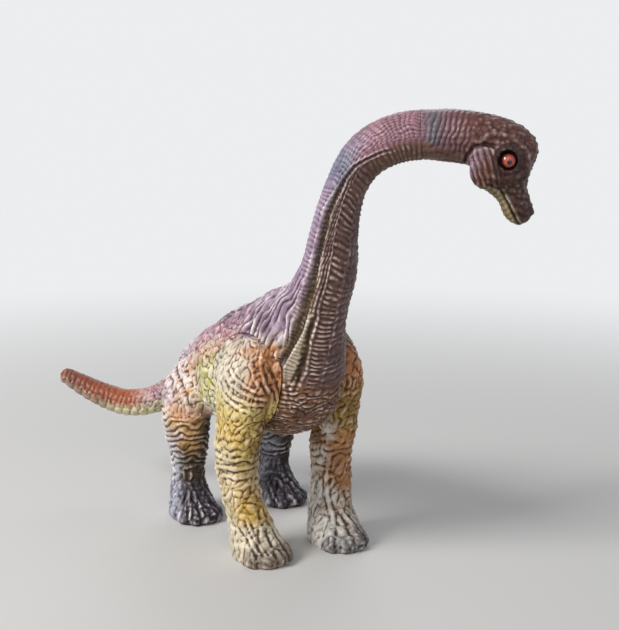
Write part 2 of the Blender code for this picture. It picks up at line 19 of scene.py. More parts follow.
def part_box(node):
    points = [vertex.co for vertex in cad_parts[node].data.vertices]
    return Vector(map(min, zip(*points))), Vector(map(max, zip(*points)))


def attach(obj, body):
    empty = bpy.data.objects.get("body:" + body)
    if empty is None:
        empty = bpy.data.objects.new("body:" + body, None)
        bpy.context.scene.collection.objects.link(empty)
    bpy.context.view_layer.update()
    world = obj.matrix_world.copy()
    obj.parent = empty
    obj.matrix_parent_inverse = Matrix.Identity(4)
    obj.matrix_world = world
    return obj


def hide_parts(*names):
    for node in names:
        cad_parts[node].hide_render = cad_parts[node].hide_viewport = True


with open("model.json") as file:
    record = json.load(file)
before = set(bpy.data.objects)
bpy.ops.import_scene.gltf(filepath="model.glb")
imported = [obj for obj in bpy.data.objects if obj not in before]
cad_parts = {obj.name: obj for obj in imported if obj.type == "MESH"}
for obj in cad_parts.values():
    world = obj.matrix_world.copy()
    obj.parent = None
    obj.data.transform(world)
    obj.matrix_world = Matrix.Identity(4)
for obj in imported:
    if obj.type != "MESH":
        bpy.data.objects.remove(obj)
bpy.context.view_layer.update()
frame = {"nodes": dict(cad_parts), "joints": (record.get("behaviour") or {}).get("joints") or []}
MM = 0.001

# The photograph's camera
PHOTO_WIDTH, PHOTO_HEIGHT = 619, 630
FOCAL_PX = 1150
SENSOR = 36
CAMERA_AZIMUTH = math.radians(-30)
CAMERA_ELEVATION = math.radians(11)
CAMERA_DISTANCE = 380
CAMERA_TARGET = np.array((20.33, 10.47, 65.0))

# Size of the skins' squares in metres, for the joined form and for the legs
AXIAL_VOXEL = 0.00031
LEG_VOXEL = 0.00032


def camera_axes():
    """The camera's right, up and backward directions."""
    a, e = CAMERA_AZIMUTH, CAMERA_ELEVATION
    back = np.array((math.sin(a) * math.cos(e), -math.cos(a) * math.cos(e), math.sin(e)))
    right = np.array((math.cos(a), math.sin(a), 0))
    return right, np.cross(back, right), back


RIGHT, CAM_UP, BACK = camera_axes()
CAMERA_PLACE = CAMERA_TARGET + BACK * CAMERA_DISTANCE


def photo_place(points):
    """Where points fall in the photograph, in pixels."""
    from_camera = points - CAMERA_PLACE
    depth = -(from_camera @ BACK)
    return np.stack((PHOTO_WIDTH / 2 + FOCAL_PX * (from_camera @ RIGHT) / depth,
                     PHOTO_HEIGHT / 2 - FOCAL_PX * (from_camera @ CAM_UP) / depth), 1)


# Numbers for patterns

def ramp(value, low, high):
    """0 below low, 1 above high, smooth between. Low may be above high."""
    t = np.clip((value - low) / (high - low), 0, 1)
    return t * t * (3 - 2 * t)


def bump(value, centre, width):
    """A bell round a centre."""
    return np.exp(-((value - centre) / width) ** 2)


def norm(rows):
    """The length of each row."""
    return np.linalg.norm(rows, axis=1)


def distance_along(line):
    """The distance of each point of a line from its start."""
    return np.r_[0, np.cumsum(norm(np.diff(line, axis=0)))]


def mix(first, second, share):
    """A blend of two arrays, by a share for each point."""
    share = np.asarray(share)
    if share.ndim and (np.ndim(first) > 1 or np.ndim(second) > 1 or np.size(second) == 3):
        share = share[:, None]
    return first * (1 - share) + second * share


def coats(base, layers):
    """A colour or a height covered by layers one after the other, each by its share."""
    for layer, share in layers:
        base = mix(base, layer, share)
    return base


def random_at(cell, seed):
    """A steady random number from 0 to 1 for each whole-numbered cell."""
    n = (cell[..., 0] * 73856093) ^ (cell[..., 1] * 19349663) ^ (cell[..., 2] * 83492791)
    n = (n + seed * 2654435761) & 0xFFFFFFFF
    n = ((n ^ (n >> 16)) * 0x45D9F3B) & 0xFFFFFFFF
    n = ((n ^ (n >> 16)) * 0x45D9F3B) & 0xFFFFFFFF
    return ((n ^ (n >> 16)) & 0xFFFFFF) / float(0x1000000)


def noise(points, size, seed=1):
    """Smooth noise from -1 to 1 with features of a given size."""
    p = points / size
    base = np.floor(p).astype(np.int64)
    f = p - base
    f = f * f * (3 - 2 * f)
    total = np.zeros(len(points))
    for corner in range(8):
        step = np.array((corner & 1, corner >> 1 & 1, corner >> 2 & 1))
        weight = np.prod(np.where(step, f, 1 - f), axis=1)
        total += weight * random_at(base + step, seed)
    return total * 2 - 1


def drift(points, size, amount, seed=1):
    """Points moved about by noise, for wavy patterns."""
    return points + amount * np.stack([noise(points, size, seed + k) for k in range(3)], 1)


def cells(points, size, seed=1):
    """Nearest and second nearest distances to scattered seeds, in cell sizes, and a random per cell."""
    p = points / size
    base = np.floor(p).astype(np.int64)
    near = np.full(len(points), 9.0)
    second = np.full(len(points), 9.0)
    tone = np.zeros(len(points))
    for shift in np.ndindex(3, 3, 3):
        cell = base + np.array(shift) - 1
        spot = cell + np.stack([random_at(cell, seed + k) for k in range(3)], 1)
        distance = norm(p - spot)
        closer = distance < near
        second = np.where(closer, near, np.minimum(second, distance))
        tone = np.where(closer, random_at(cell, seed + 7), tone)
        near = np.where(closer, distance, near)
    return near, second, tone


def ribs(along, period, sharpness=1.3):
    """Ribs along a distance, from 0 to 1. A higher sharpness makes narrower ridges and wider valleys."""
    return np.abs(np.cos(math.pi * along / period)) ** sharpness


PUFF_MEAN = 0.42


def puffs(points, size, seed, grain=None):
    """Crumpled skin: interlocking cushions crossed by winding crests, from 0 to 1 less its usual height."""
    if grain is not None:
        points = points - 0.36 * (points @ grain)[:, None] * grain
    near, second, tone = cells(drift(points, size * 1.3, size * 0.55, seed), size, seed)
    cushion = np.clip((second - near) / 0.7, 0, 1) ** 0.75
    swirl = noise(drift(points, size * 1.6, size * 0.6, seed + 20), size * 0.8, seed + 9)
    crest = np.clip(1 - np.abs(swirl) * 2.8, 0, 1)
    return 0.72 * cushion * (0.75 + 0.25 * tone) + 0.28 * crest - PUFF_MEAN


def crumpled(points, sizes, seed, grain):
    """Height of coarse wrinkles with fine ones on them."""
    return 1.2 * puffs(points, sizes[0], seed, grain) + 0.2 * puffs(points, sizes[1], seed + 2)


def table_at(value, rows):
    """A value read off a short table of (place, value) rows."""
    places, values = zip(*rows)
    return np.interp(value, places, values)


def stroke_distance(places, points):
    """Distance from each place to a line through named places, and how far along the line that is."""
    best = np.full(len(places), np.inf)
    share = np.zeros(len(places))
    line = np.array(points, float)
    lengths = distance_along(line)
    for index, (start, end) in enumerate(zip(line, line[1:])):
        run = end - start
        t = np.clip(((places - start) @ run) / (run @ run), 0, 1)
        gap = norm(places - start - t[:, None] * run)
        closer = gap < best
        share = np.where(closer, (lengths[index] + t * np.linalg.norm(run)) / lengths[-1], share)
        best = np.where(closer, gap, best)
    return best, share


# Meshes

def read(items, key, width, kind=float):
    """One property of every item of a mesh, as the rows of an array."""
    values = np.empty(len(items) * width, kind)
    items.foreach_get(key, values)
    return values.reshape(-1, width)


def triangles_of(name):
    """The points and triangles of a CAD node."""
    mesh = frame["nodes"][name].data
    mesh.calc_loop_triangles()
    return read(mesh.vertices, "co", 3), read(mesh.loop_triangles, "vertices", 3, int)


PLUG_SIDES = 32


def plug(centre, axis, radius, low, high):
    """A short cylinder, in millimetres, that closes a pin's hole or a joint's gap before remeshing."""
    centre, radius, low, high = (value * MM for value in (centre, radius, low, high))
    bm = bmesh.new()
    bmesh.ops.create_cone(bm, cap_ends=True, segments=PLUG_SIDES, radius1=radius, radius2=radius,
                          depth=high - low)
    turn = Vector(axis).to_track_quat("Z", "Y").to_matrix().to_4x4()
    turn.translation = Vector(centre) + Vector(axis) * ((low + high) / 2)
    bmesh.ops.transform(bm, verts=bm.verts, matrix=turn)
    bmesh.ops.triangulate(bm, faces=bm.faces)
    points = np.array([vertex.co for vertex in bm.verts])
    faces = np.array([[vertex.index for vertex in face.verts] for face in bm.faces])
    bm.free()
    return points, faces


def mesh_from(bm, name):
    """The mesh of a finished bmesh."""
    mesh = bpy.data.meshes.new(name)
    bm.to_mesh(mesh)
    bm.free()
    return mesh


def linked(name, data):
    """A new object in the scene."""
    item = bpy.data.objects.new(name, data)
    bpy.context.collection.objects.link(item)
    return item


def largest_part(mesh):
    """Drop every loose part but the one with the most points."""
    first, second = read(mesh.edges, "vertices", 2, int).T
    label = np.arange(len(mesh.vertices))
    before = None
    while before is None or (label != before).any():
        before = label.copy()
        low = np.minimum(label[first], label[second])
        np.minimum.at(label, first, low)
        np.minimum.at(label, second, low)
        label = label[label]
    loose = label != np.bincount(label).argmax()
    if loose.any():
        bm = bmesh.new()
        bm.from_mesh(mesh)
        drop = [vertex for vertex, gone in zip(bm.verts[:], loose) if gone]
        bmesh.ops.delete(bm, geom=drop, context="VERTS")
        bm.to_mesh(mesh)
        bm.free()
    return mesh


def remeshed(name, parts, voxel):
    """One closed skin of small squares round several solids."""
    points, faces, count = [], [], 0
    for place, corners in parts:
        points.append(place)
        faces.append(corners + count)
        count += len(place)
    mesh = bpy.data.meshes.new(name)
    mesh.from_pydata(np.vstack(points).tolist(), [], np.vstack(faces).tolist())
    item = linked(name, mesh)
    step = item.modifiers.new("skin", "REMESH")
    step.mode = "VOXEL"
    step.voxel_size = voxel
    graph = bpy.context.evaluated_depsgraph_get()
    graph.update()
    skin = bpy.data.meshes.new_from_object(item.evaluated_get(graph))
    item.modifiers.clear()
    item.data = largest_part(skin)
    return item


# Pulls towards the neighbours: there and back, which keeps the size, or only there, which melts the form
EVEN_OUT = (0.6, -0.61)
MELT = (0.6,)


class Sculpt:
    """The points of a skin in millimetres, with its normals and neighbours."""

    def __init__(self, item):
        self.item, self.mesh = item, item.data
        self.points = read(self.mesh.vertices, "co", 3) / MM
        self.edges = read(self.mesh.edges, "vertices", 2, int)
        self.degree = np.bincount(self.edges.ravel(), minlength=len(self.points))
        self.height = np.zeros(len(self.points))
        self.store()

    def store(self):
        """Write the points back to the mesh and read its normals."""
        self.mesh.vertices.foreach_set("co", (self.points * MM).ravel())
        self.mesh.update()
        self.normals = read(self.mesh.vertices, "normal", 3)

    def neighbour_mean(self, values):
        """The mean of each point's neighbours."""
        a, b = self.edges.T
        count = len(self.points)
        columns = [np.bincount(a, column[b], count) + np.bincount(b, column[a], count)
                   for column in values.reshape(count, -1).T]
        return (np.stack(columns, 1) / self.degree[:, None]).reshape(values.shape)

    def smooth(self, rounds, weight, pulls=EVEN_OUT):
        """Even the form out by a weight for each point. Each round takes every pull once."""
        weight = np.broadcast_to(weight, len(self.points))[:, None]
        for pull in pulls * rounds:
            self.points = self.points + weight * pull * (self.neighbour_mean(self.points) - self.points)
        self.store()

    def soft_normals(self, rounds=12):
        """Normals of the broad form, for even displacement."""
        normals = self.normals
        for _ in range(rounds):
            normals = self.neighbour_mean(normals)
        return normals / np.maximum(norm(normals), 1e-9)[:, None]

    def raise_by(self, amount, direction):
        """Move every point by an amount in millimetres."""
        self.points = self.points + direction * amount[:, None]
        self.store()

    def keep(self, name, values):
        """Keep a number or a colour for each point on the mesh, for the material."""
        if np.ndim(values) == 1:
            layer = self.mesh.attributes.new(name, "FLOAT", "POINT")
            layer.data.foreach_set("value", np.asarray(values, np.float32))
            return
        layer = self.mesh.attributes.new(name, "FLOAT_COLOR", "POINT")
        rgba = np.column_stack((values, np.ones(len(values))))
        layer.data.foreach_set("color", np.asarray(rgba, np.float32).ravel())


# Places on the figure, in millimetres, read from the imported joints

JOINTS = {joint["name"]: joint for joint in frame["joints"]}


def joint_place(name):
    """A joint's point and axis."""
    joint = JOINTS[name]
    return np.array(joint["pos_m"]) / MM, np.array(joint["axis"], float)


NECK_SEAT, NECK_AXIS = joint_place("neck_turn")
HEAD_SEAT, HEAD_AXIS = joint_place("head_turn")
TAIL_SEAT, TAIL_AXIS = joint_place("tail_turn")
# The neck's own upright plane: its forward direction, up, and the direction square to it
NECK_OUT = np.array((HEAD_SEAT[0] - NECK_SEAT[0], HEAD_SEAT[1] - NECK_SEAT[1], 0))
NECK_OUT /= np.linalg.norm(NECK_OUT)
UP = np.array((0.0, 0.0, 1.0))
NECK_SIDE = np.cross(UP, NECK_OUT)
# Each leg's side, its seat's radius and its seat's centre
LEGS = {f"{kind}_leg_{side}": (sign, radius, joint_place(f"{kind}_leg_{side}_swing")[0])
        for kind, radius in (("front", 16.0), ("hind", 12.5))
        for side, sign in (("right", -1), ("left", 1))}
MIDDLE = (LEGS["front_leg_right"][2][0] + LEGS["front_leg_left"][2][0]) / 2
# How far the neck's curve runs straight on from each seat and how far it bows up, and how far its line goes
# on into the chest and the head
NECK_PULL, NECK_BOW = 19.0, 1.5
CHEST_RUN, HEAD_RUN = 24.0, 12.0
# The plugs that close each joint's gap: seat, axis, radius and half height. A pin's hole takes one with
# a radius and the places of its two ends
SEAT_PLUGS = (
    (NECK_SEAT, NECK_AXIS, 8.3, 2.4),
    (HEAD_SEAT, HEAD_AXIS, 6.3, 0.8),
    (TAIL_SEAT, TAIL_AXIS, 5.6, 1.2),
)
PIN_PLUG = (3.2, -2.0, -0.02)


def neck_line():
    """Points along the neck, from inside the chest to inside the head, and the distance along it."""
    grips = [NECK_SEAT, NECK_SEAT + NECK_AXIS * NECK_PULL + NECK_OUT * NECK_BOW,
             HEAD_SEAT - HEAD_AXIS * NECK_PULL + UP * NECK_BOW, HEAD_SEAT]
    line = [NECK_SEAT - NECK_AXIS * away for away in np.arange(CHEST_RUN, 0, -1)]
    for t in np.linspace(0, 1, 61):
        weights = ((1 - t) ** 3, 3 * (1 - t) ** 2 * t, 3 * (1 - t) * t * t, t ** 3)
        line.append(sum(weight * grip for weight, grip in zip(weights, grips)))
    line += [HEAD_SEAT + HEAD_AXIS * away for away in np.arange(1, HEAD_RUN)]
    line = np.array(line)
    along = distance_along(line)
    return line, along - along[int(CHEST_RUN)]


# Points that are measured at once, to save memory
BATCH = 20000


def neck_places(points):
    """For each point: distance along the neck, angle from the back of it (signed, right side positive)."""
    line, along = neck_line()
    nearest = np.zeros(len(points), int)
    for start in range(0, len(points), BATCH):
        block = slice(start, start + BATCH)
        nearest[block] = ((points[block, None] - line) ** 2).sum(2).argmin(1)
    run = np.gradient(line, axis=0)
    run /= norm(run)[:, None]
    from_line = points - line[nearest]
    step = (from_line * run[nearest]).sum(1)
    back_of_neck = np.cross(run, NECK_SIDE)[nearest]
    angle = np.degrees(np.arctan2(-(from_line @ NECK_SIDE), (from_line * back_of_neck).sum(1)))
    return along[nearest] + step, angle


def axial_distance(points, seat, axis):
    """Distance past a seat's plane and away from its axis."""
    past = (points - seat) @ axis
    away = norm(points - seat - past[:, None] * axis)
    return past, away


# Paints, written as plain sRGB values

def paint(red, green, blue):
    """An sRGB colour as the linear values that shaders use."""
    return np.array([((value / 255 + 0.055) / 1.055) ** 2.4 for value in (red, green, blue)])


LILAC = paint(132, 106, 130)
PALE_LILAC = paint(168, 148, 172)
MAUVE = paint(126, 88, 98)
ROSE = paint(160, 112, 124)
PLUM = paint(96, 74, 92)
SLATE = paint(96, 98, 108)
GROOVE_OLIVE = paint(86, 66, 26)
GROOVE_FRINGE = paint(168, 150, 78)
RIB_BROWN = paint(98, 70, 56)
RIB_PALE = paint(180, 150, 136)
DARK_BROWN = paint(92, 64, 50)
CHEST_BROWN = paint(112, 78, 56)
ORANGE = paint(196, 136, 92)
ORANGE_BROWN = paint(180, 122, 76)
PEACH = paint(212, 168, 138)
SHOULDER_PALE = paint(208, 200, 182)
OLIVE = paint(182, 174, 96)
CREAM = paint(222, 216, 186)
PALE_YELLOW = paint(204, 188, 126)
YELLOW = paint(196, 162, 76)
STRONG_YELLOW = paint(214, 172, 66)
OCHRE = paint(164, 128, 58)
OCHRE_SHADE = paint(104, 78, 34)
TAN = paint(168, 120, 76)
OLIVE_BROWN = paint(140, 110, 54)
RING_OCHRE = paint(160, 124, 66)
DARK_SHIN = paint(50, 40, 36)
BEIGE = paint(204, 194, 170)
TOE_BROWN = paint(108, 90, 80)
FOOT_GREY = paint(168, 164, 156)
TOE_GREY = paint(84, 82, 86)
FOOT_PURPLE = paint(66, 60, 74)
PALE_GREY = paint(222, 219, 213)
COLD_HIGHLIGHT = paint(172, 176, 194)
TERRACOTTA = paint(164, 92, 62)
TAIL_BROWN = paint(112, 62, 44)
SLATE_BLUE = paint(110, 122, 146)
HEAD_BROWN = paint(88, 50, 40)
SNOUT_BROWN = paint(66, 36, 27)
JAW_OLIVE = paint(122, 108, 70)
# Dark red-brown of the eye's socket, which is also painted shade in that hollow
SOCKET_TONE_AND_SHADE = paint(46, 22, 18)
# Multiplied into low and deep creases: a dark wash that is also painted shade
WASH_AND_SHADE_TINT = (0.21, 0.15, 0.12, 1)
DEEP_SHADE_TINT = (0.55, 0.47, 0.38, 1)
# Dragged over the ridges: pale paint that is also a painted highlight
BRUSH_AND_HIGHLIGHT = paint(232, 224, 220)

# Where the neck's features run: distance along the neck, then the angle from its back
GROOVE_LINE = ((-20, 66), (-13, 71), (-6, 78), (-1, 77), (4, 73), (11, 58), (17, 48), (24, 38),
               (28, 42), (34, 50), (38, 60), (43, 88), (48, 107))
GROOVE_WIDTH = ((-18, 11), (0, 11), (12, 10), (24, 8), (34, 4), (60, 3.5))
GROOVE_DEPTH = ((-14, 1.5), (0, 1.25), (24, 0.85), (34, 0.3), (60, 0.15))
SECOND_GROOVE = ((-20, 95), (-9, 96), (-4, 97), (4, 96))
LADDER_START = ((-20, 108), (-8, 104), (-2, 108), (10, 106), (15, 100), (22, 81), (29, 72), (60, 100))
LADDER_END = ((-20, 119), (-8, 126), (-2, 133), (10, 142), (17, 155), (60, 160))
# How much of the ribs is painted pale, by the distance along the neck
RIB_PAINT = ((-20, 0.85), (8, 0.7), (24, 0.35), (36, 0.12))
# Pitches of the neck's patterns: rows and ribs in millimetres along it, the rest in degrees round it
SCALE_ROW, SCALE_WIDTH = 1.35, 11
NET_ROW, NET_WIDTH = 1.9, 13
RIB_PITCH, FINE_RIB, SIDE_ROW = 1.7, 1.1, 1.6
RIB_BREAK = 17
ARCH_LINES, SIDE_LINES = 8.0, 8.5


def bricks(along, across, period, width, seed_wave):
    """Rows of small rectangular scales, from 0 between scales to 1."""
    row = np.floor((along + seed_wave) / period)
    rows = ribs(along + seed_wave, period, 1.0)
    shift = random_at(np.stack((row, row * 0, row * 0), -1).astype(np.int64), 5)
    columns = ribs(across / width + shift, 1.0, 0.8)
    return rows * (0.35 + 0.65 * columns)


def neck_relief(points, along, angle):
    """Height and tones of the neck's skin."""
    side = np.abs(angle)
    groove_at = table_at(along, GROOVE_LINE)
    ladder_low, ladder_high = table_at(along, LADDER_START), table_at(along, LADDER_END)
    arch = ramp(along, 30, 40)
    wave, slow = noise(points, 3.0, 11), noise(points, 7.0, 12)

    # Back and sides: small rectangular scales in wavy rows, crossed by long lines on the arch
    small = bricks(along, angle + 6 * wave, SCALE_ROW, SCALE_WIDTH, 0.9 * wave + slow)
    lengthwise = ribs(angle / ARCH_LINES + 0.9 * wave + 0.5 * slow, 1.0, 1.3)
    height = mix(0.44 * (small - 0.4), 0.26 * (small - 0.4) + 0.26 * (lengthwise - 0.45), arch)
    height *= 1 - 0.25 * ramp(side, 45, 15)

    # Underside: thin broken ribs between two rails, and a coarser net beyond them
    rib_wave = 0.6 * noise(points, 2.2, 17) + 0.4 * slow
    closer = along + 0.35 * np.minimum(along - 5, 0)
    ladder = ribs(closer + rib_wave + 0.02 * (side - ladder_low), RIB_PITCH, 1.9)
    ladder *= 0.4 + 0.6 * ribs(side / RIB_BREAK + 0.35 * noise(points, 1.9, 18) + 0.3, 1.0, 0.3)
    ladder *= 0.5 + 0.5 * ramp(noise(points, 1.7, 20), -0.35, 0.25)
    under = bricks(along, angle + 6 * wave, NET_ROW, NET_WIDTH, 1.3 * noise(points, 2.8, 19))
    lines = ribs(side / SIDE_LINES + 0.5 * wave, 1.0, 1.2)
    cross = ribs(along + 0.7 * noise(points, 1.8, 21) - 0.03 * side, SIDE_ROW, 1.2)
    in_ladder = ramp(side, ladder_low - 3, ladder_low + 2) * ramp(side, ladder_high + 4, ladder_high - 3)
    beyond = ramp(side, ladder_high - 2, ladder_high + 4)
    lined = ramp(side, groove_at + 8, groove_at + 13) * (1 - in_ladder) * (1 - beyond)
    height = coats(height, (
        (0.55 * (lines * (0.4 + 0.6 * cross) - 0.35), lined * ramp(along, 46, 38)),
        ((0.5 + 0.15 * wave) * (1 - 0.4 * arch) * (ladder - 0.35), in_ladder),
        (0.38 * (under - 0.4), beyond)))
    rails = bump(side, ladder_low - 4, 2.6) + bump(side, ladder_high + 4, 2.6)
    height += 0.22 * rails * ramp(along, 34, 26)

    # The long groove with a thin ridge on each side, which ends as a thin line on the arch
    off = side - groove_at
    width, depth = table_at(along, GROOVE_WIDTH), table_at(along, GROOVE_DEPTH)
    fade = ramp(along, 50, 44) * ramp(along, -22, -15)
    in_groove = fade * bump(off, 0, width)
    height = mix(height, height * 0.4, in_groove)
    height -= depth * in_groove
    height += fade * 0.4 * (bump(off, -width * 1.8, width * 0.5) + bump(off, width * 1.8, width * 0.5))
    second = side - table_at(along, SECOND_GROOVE)
    low = ramp(along, 2, -5) * ramp(along, -26, -19)
    height -= low * 0.85 * bump(second, 0, 5)
    between = low * ramp(off, 7, 11) * ramp(second, -3, -7)
    fine_ribs = ribs(along + 0.5 * wave - 0.03 * side, FINE_RIB, 1.1)
    height = mix(height, 0.3 * (fine_ribs - 0.3), between)

    pale = table_at(along, RIB_PAINT)
    return height, coats(mix(LILAC, PALE_LILAC, 0.35 + 0.35 * noise(points, 5, 23)), (
        (mix(MAUVE, ROSE, 0.5 + 0.3 * wave), ramp(along, 28, 42) * 0.85),
        (SLATE_BLUE, 0.75 * bump(along, 37, 7) * ramp(side, 75, 35)),
        (mix(RIB_BROWN, MAUVE, 0.12 + 0.2 * wave), ramp(off, 0, 12) * 0.95),
        (RIB_PALE, in_ladder * ramp(ladder, 0.35, 0.85) * pale),
        (mix(DARK_BROWN, PLUM, 0.35), beyond * 0.65),
        (RIB_BROWN, arch * ramp(side, 88, 112) * 0.85),
        (GROOVE_FRINGE, low * 0.7 * bump(off, -width, width * 0.6)),
        (GROOVE_OLIVE, fade * bump(off, 1.5, width * 1.3) * (1 - 0.6 * arch)),
        (GROOVE_OLIVE, low * 0.8 * bump(second, 0, 6)),
        (BEIGE, 0.4 * between)))


# Lines, places and pitches of patterns on the head, as places ahead of its seat and above it
MOUTH_LINE = ((18.4, -12.8), (21.5, -14.9), (23.7, -18.8), (26.0, -23.2), (27.2, -25.2))
BROW_LINE = ((15.5, -1.8), (19.0, 0.9), (24.5, -0.4), (28.4, -4.8), (28.4, -10.5))
UNDER_EYE_LINE = ((19.0, -10.6), (22.0, -11.6), (25.5, -11.2), (28.2, -9.4))
EYE_AT = (23.8, -6.3)
CHEEK_AT, CHEEK_SIZE = (17.2, -9.2), (5.2, 6.4)
NOSTRIL_AT = (30.6, -19.0)
NOSE_AT, NOSE_SIZE = (31.5, -20), (3.0, 4.5)
PEBBLE, HEAD_RING, HEAD_KNOT = 1.45, 1.55, 1.9
CHEEK_STRIPE, CHEEK_STEP = 1.5, 2.6
SNOUT_FOLD, JAW_BAR = 1.9, 1.35


def head_relief(points, normals):
    """Height and tones of the head's skin."""
    from_seat = points - HEAD_SEAT
    ahead, above = from_seat @ NECK_OUT, from_seat[:, 2]
    flat = np.stack((ahead, above), 1)
    facing_side = ramp(np.abs(normals @ NECK_SIDE), 0.15, 0.5)
    near, _, tone = cells(drift(points, 2.0, 0.3, 31), PEBBLE, 31)
    pebbles = 0.75 * (0.55 - near)
    wave = noise(points, 2.5, 37)
    rings = ribs(ahead - 0.25 * above + 0.7 * wave, HEAD_RING, 1.2)
    knots = ribs(above + 0.6 * noise(points, 2.5, 38), HEAD_KNOT, 0.9)
    height = 0.44 * (rings * (0.4 + 0.6 * knots) - 0.4)
    throat = ramp(above + 0.3 * ahead + 0.6 * wave, -0.5, -2.5)
    height = mix(height, 0.3 * (knots - 0.4) + 0.12 * rings, throat)
    height = mix(height, pebbles, ramp(ahead, 11, 16))
    height *= 1 - 0.45 * ramp(normals[:, 2], 0.55, 0.9)

    cheek = norm((flat - CHEEK_AT) / CHEEK_SIZE)
    on_cheek = ramp(cheek, 1.05, 0.9) * facing_side
    stripes = ribs(ahead + 0.28 * above + 0.35 * noise(points, 2, 41), CHEEK_STRIPE, 0.8)
    steps = ribs(above + 0.4 * noise(points, 2, 42), CHEEK_STEP, 0.5)
    height = mix(height, 0.42 + 0.5 * (stripes * (0.75 + 0.25 * steps) - 0.6), on_cheek)
    height -= 0.6 * bump(cheek, 1.12, 0.09) * facing_side * ramp(ahead, 22, 18)

    from_eye = norm(flat - EYE_AT)
    height = mix(height, height * 0.3, bump(from_eye, 2.5, 1.8) * facing_side)
    height += 0.18 * bump(from_eye, 3.3, 0.6) * facing_side
    height += 0.2 * bump(from_eye, 4.9, 0.5) * facing_side * ramp(above, -8, -5)
    for line, amount in ((BROW_LINE, 0.6), (UNDER_EYE_LINE, 0.4)):
        gap, _ = stroke_distance(flat, line)
        height += amount * bump(gap, 0, 0.7) * facing_side

    mouth, _ = stroke_distance(flat, MOUTH_LINE)
    snout = ramp(above, -13, -17)
    snout_folds = ribs(above * 0.8 + ahead * 0.25 + 0.6 * noise(points, 2, 43), SNOUT_FOLD, 1.2)
    height = mix(height, 0.34 * (snout_folds - 0.5) + 0.5 * pebbles, snout)
    mouth_at = table_at(-above, [(-a, x) for x, a in MOUTH_LINE])
    jaw = ramp(ahead - mouth_at, 0.3, -0.6) * ramp(above, -12.5, -14.5)
    jaw_bars = ribs(above * 0.75 - ahead * 0.6 + 0.3 * wave, JAW_BAR, 0.9)
    height = mix(height, 0.22 * (jaw_bars - 0.5), jaw)
    height += facing_side * (-0.8 * bump(mouth, 0, 0.4) + 0.36 * bump(ahead - mouth_at, 1.1, 0.4)
                             * ramp(above, -15, -17))
    height -= 0.7 * bump(norm(flat - NOSTRIL_AT), 0, 0.6) * facing_side
    height += 0.9 * bump(norm((flat - NOSE_AT) / NOSE_SIZE), 0, 1) * (1 - facing_side)

    upper_rear = ramp(ahead - 0.5 * (above + 9), 17.0, 12.5)
    lip = bump(ahead - mouth_at, 1.0, 0.45) * ramp(above, -14, -16) * facing_side
    return height, coats(mix(MAUVE, HEAD_BROWN, ramp(ahead, 4, 15) * (0.75 + 0.25 * tone)), (
        (SLATE, 0.85 * bump(ahead, 2.6, 3.2) * ramp(above, -5, -1)),
        (RIB_BROWN, throat * ramp(ahead, 14, 9) * 0.85),
        (mix(HEAD_BROWN, LILAC, upper_rear * 0.65), on_cheek),
        # Dark paint round the eye, partly painted shade in its socket
        (SOCKET_TONE_AND_SHADE, ramp(from_eye, 6.0, 3.0) * facing_side),
        (SNOUT_BROWN, ramp(above, -8, -12) * (1 - on_cheek)),
        (SNOUT_BROWN, 0.7 * ramp(cheek, 0.3, 1.0) * on_cheek * ramp(above, -9, -13)),
        (JAW_OLIVE, 0.9 * jaw),
        (JAW_OLIVE, 0.7 * lip),
        (SLATE, 0.55 * ramp(ahead, 29.5, 31.5) * ramp(above, -15, -19))))


# Folds that the photograph shows on the body and the legs: pixel places, half width in pixels and height
# in millimetres. A fold fades out on surfaces that the photograph sees edge-on.
BODY_FOLDS = (
    (((250, 312), (244, 335), (240, 356), (243, 372)), 2.2, 0.55),
    (((258, 312), (253, 332), (250, 350), (252, 366)), 2.0, 0.55),
    (((266, 312), (262, 330), (260, 350)), 2.0, 0.50),
    (((276, 318), (268, 336), (266, 352), (272, 372)), 2.2, 0.60),
    (((283, 335), (277, 346), (274, 358), (280, 384)), 1.8, 0.55),
    (((290, 352), (284, 362), (282, 380), (286, 402)), 2.0, 0.60),
    (((304, 366), (296, 378), (290, 392)), 1.8, 0.50),
    (((272, 386), (290, 384), (312, 388)), 1.6, 0.40),
    (((196, 354), (190, 372), (193, 392)), 2.0, 0.45),
)
RUMP_FOLDS = (
    (((178, 352), (182, 372), (190, 392)), 2.4, 0.7),
    (((170, 358), (174, 376), (182, 396), (190, 412)), 2.2, 0.6),
    (((164, 366), (168, 386), (172, 404)), 2.0, 0.4),
)
SHOULDER_FOLDS = (
    (((221, 377), (225, 390), (235, 399), (250, 405), (268, 406)), 1.5, 0.6),
    (((224, 371), (230, 384), (241, 393), (256, 399), (270, 400)), 1.4, 0.55),
    (((228, 366), (235, 379), (246, 388), (260, 394)), 1.3, 0.5),
    (((219, 385), (226, 399), (238, 409), (254, 414)), 1.5, 0.4),
    (((252, 345), (250, 362), (254, 380), (262, 392)), 1.7, 0.45),
    (((262, 345), (260, 362), (264, 382), (272, 398)), 1.8, 0.5),
    (((272, 378), (275, 390), (279, 404)), 1.4, 0.5),
)
FRONT_RIGHT_FOLDS = (
    (((240, 521), (246, 533), (254, 547), (261, 559)), 1.8, 0.75),
    (((259, 526), (263, 537), (270, 547), (279, 555)), 1.8, 0.7),
    (((250, 522), (255, 534), (262, 546), (270, 557)), 1.4, -0.5),
    (((216, 456), (236, 461), (258, 456)), 1.7, 0.5),
    (((214, 465), (238, 470), (256, 465)), 1.7, 0.5),
    (((218, 475), (238, 479), (254, 475)), 1.4, 0.35),
)
FRONT_LEFT_FOLDS = (
    (((331, 449), (326, 474), (327, 497), (331, 511), (337, 529)), 1.9, 0.65),
    (((340, 505), (347, 518), (356, 531)), 1.7, 0.5),
    (((346, 540), (358, 541), (369, 539)), 1.5, -0.2),
    (((316, 391), (331, 382), (344, 374), (350, 369)), 1.6, 0.5),
    (((330, 400), (344, 394), (356, 392)), 1.6, 0.4),
)
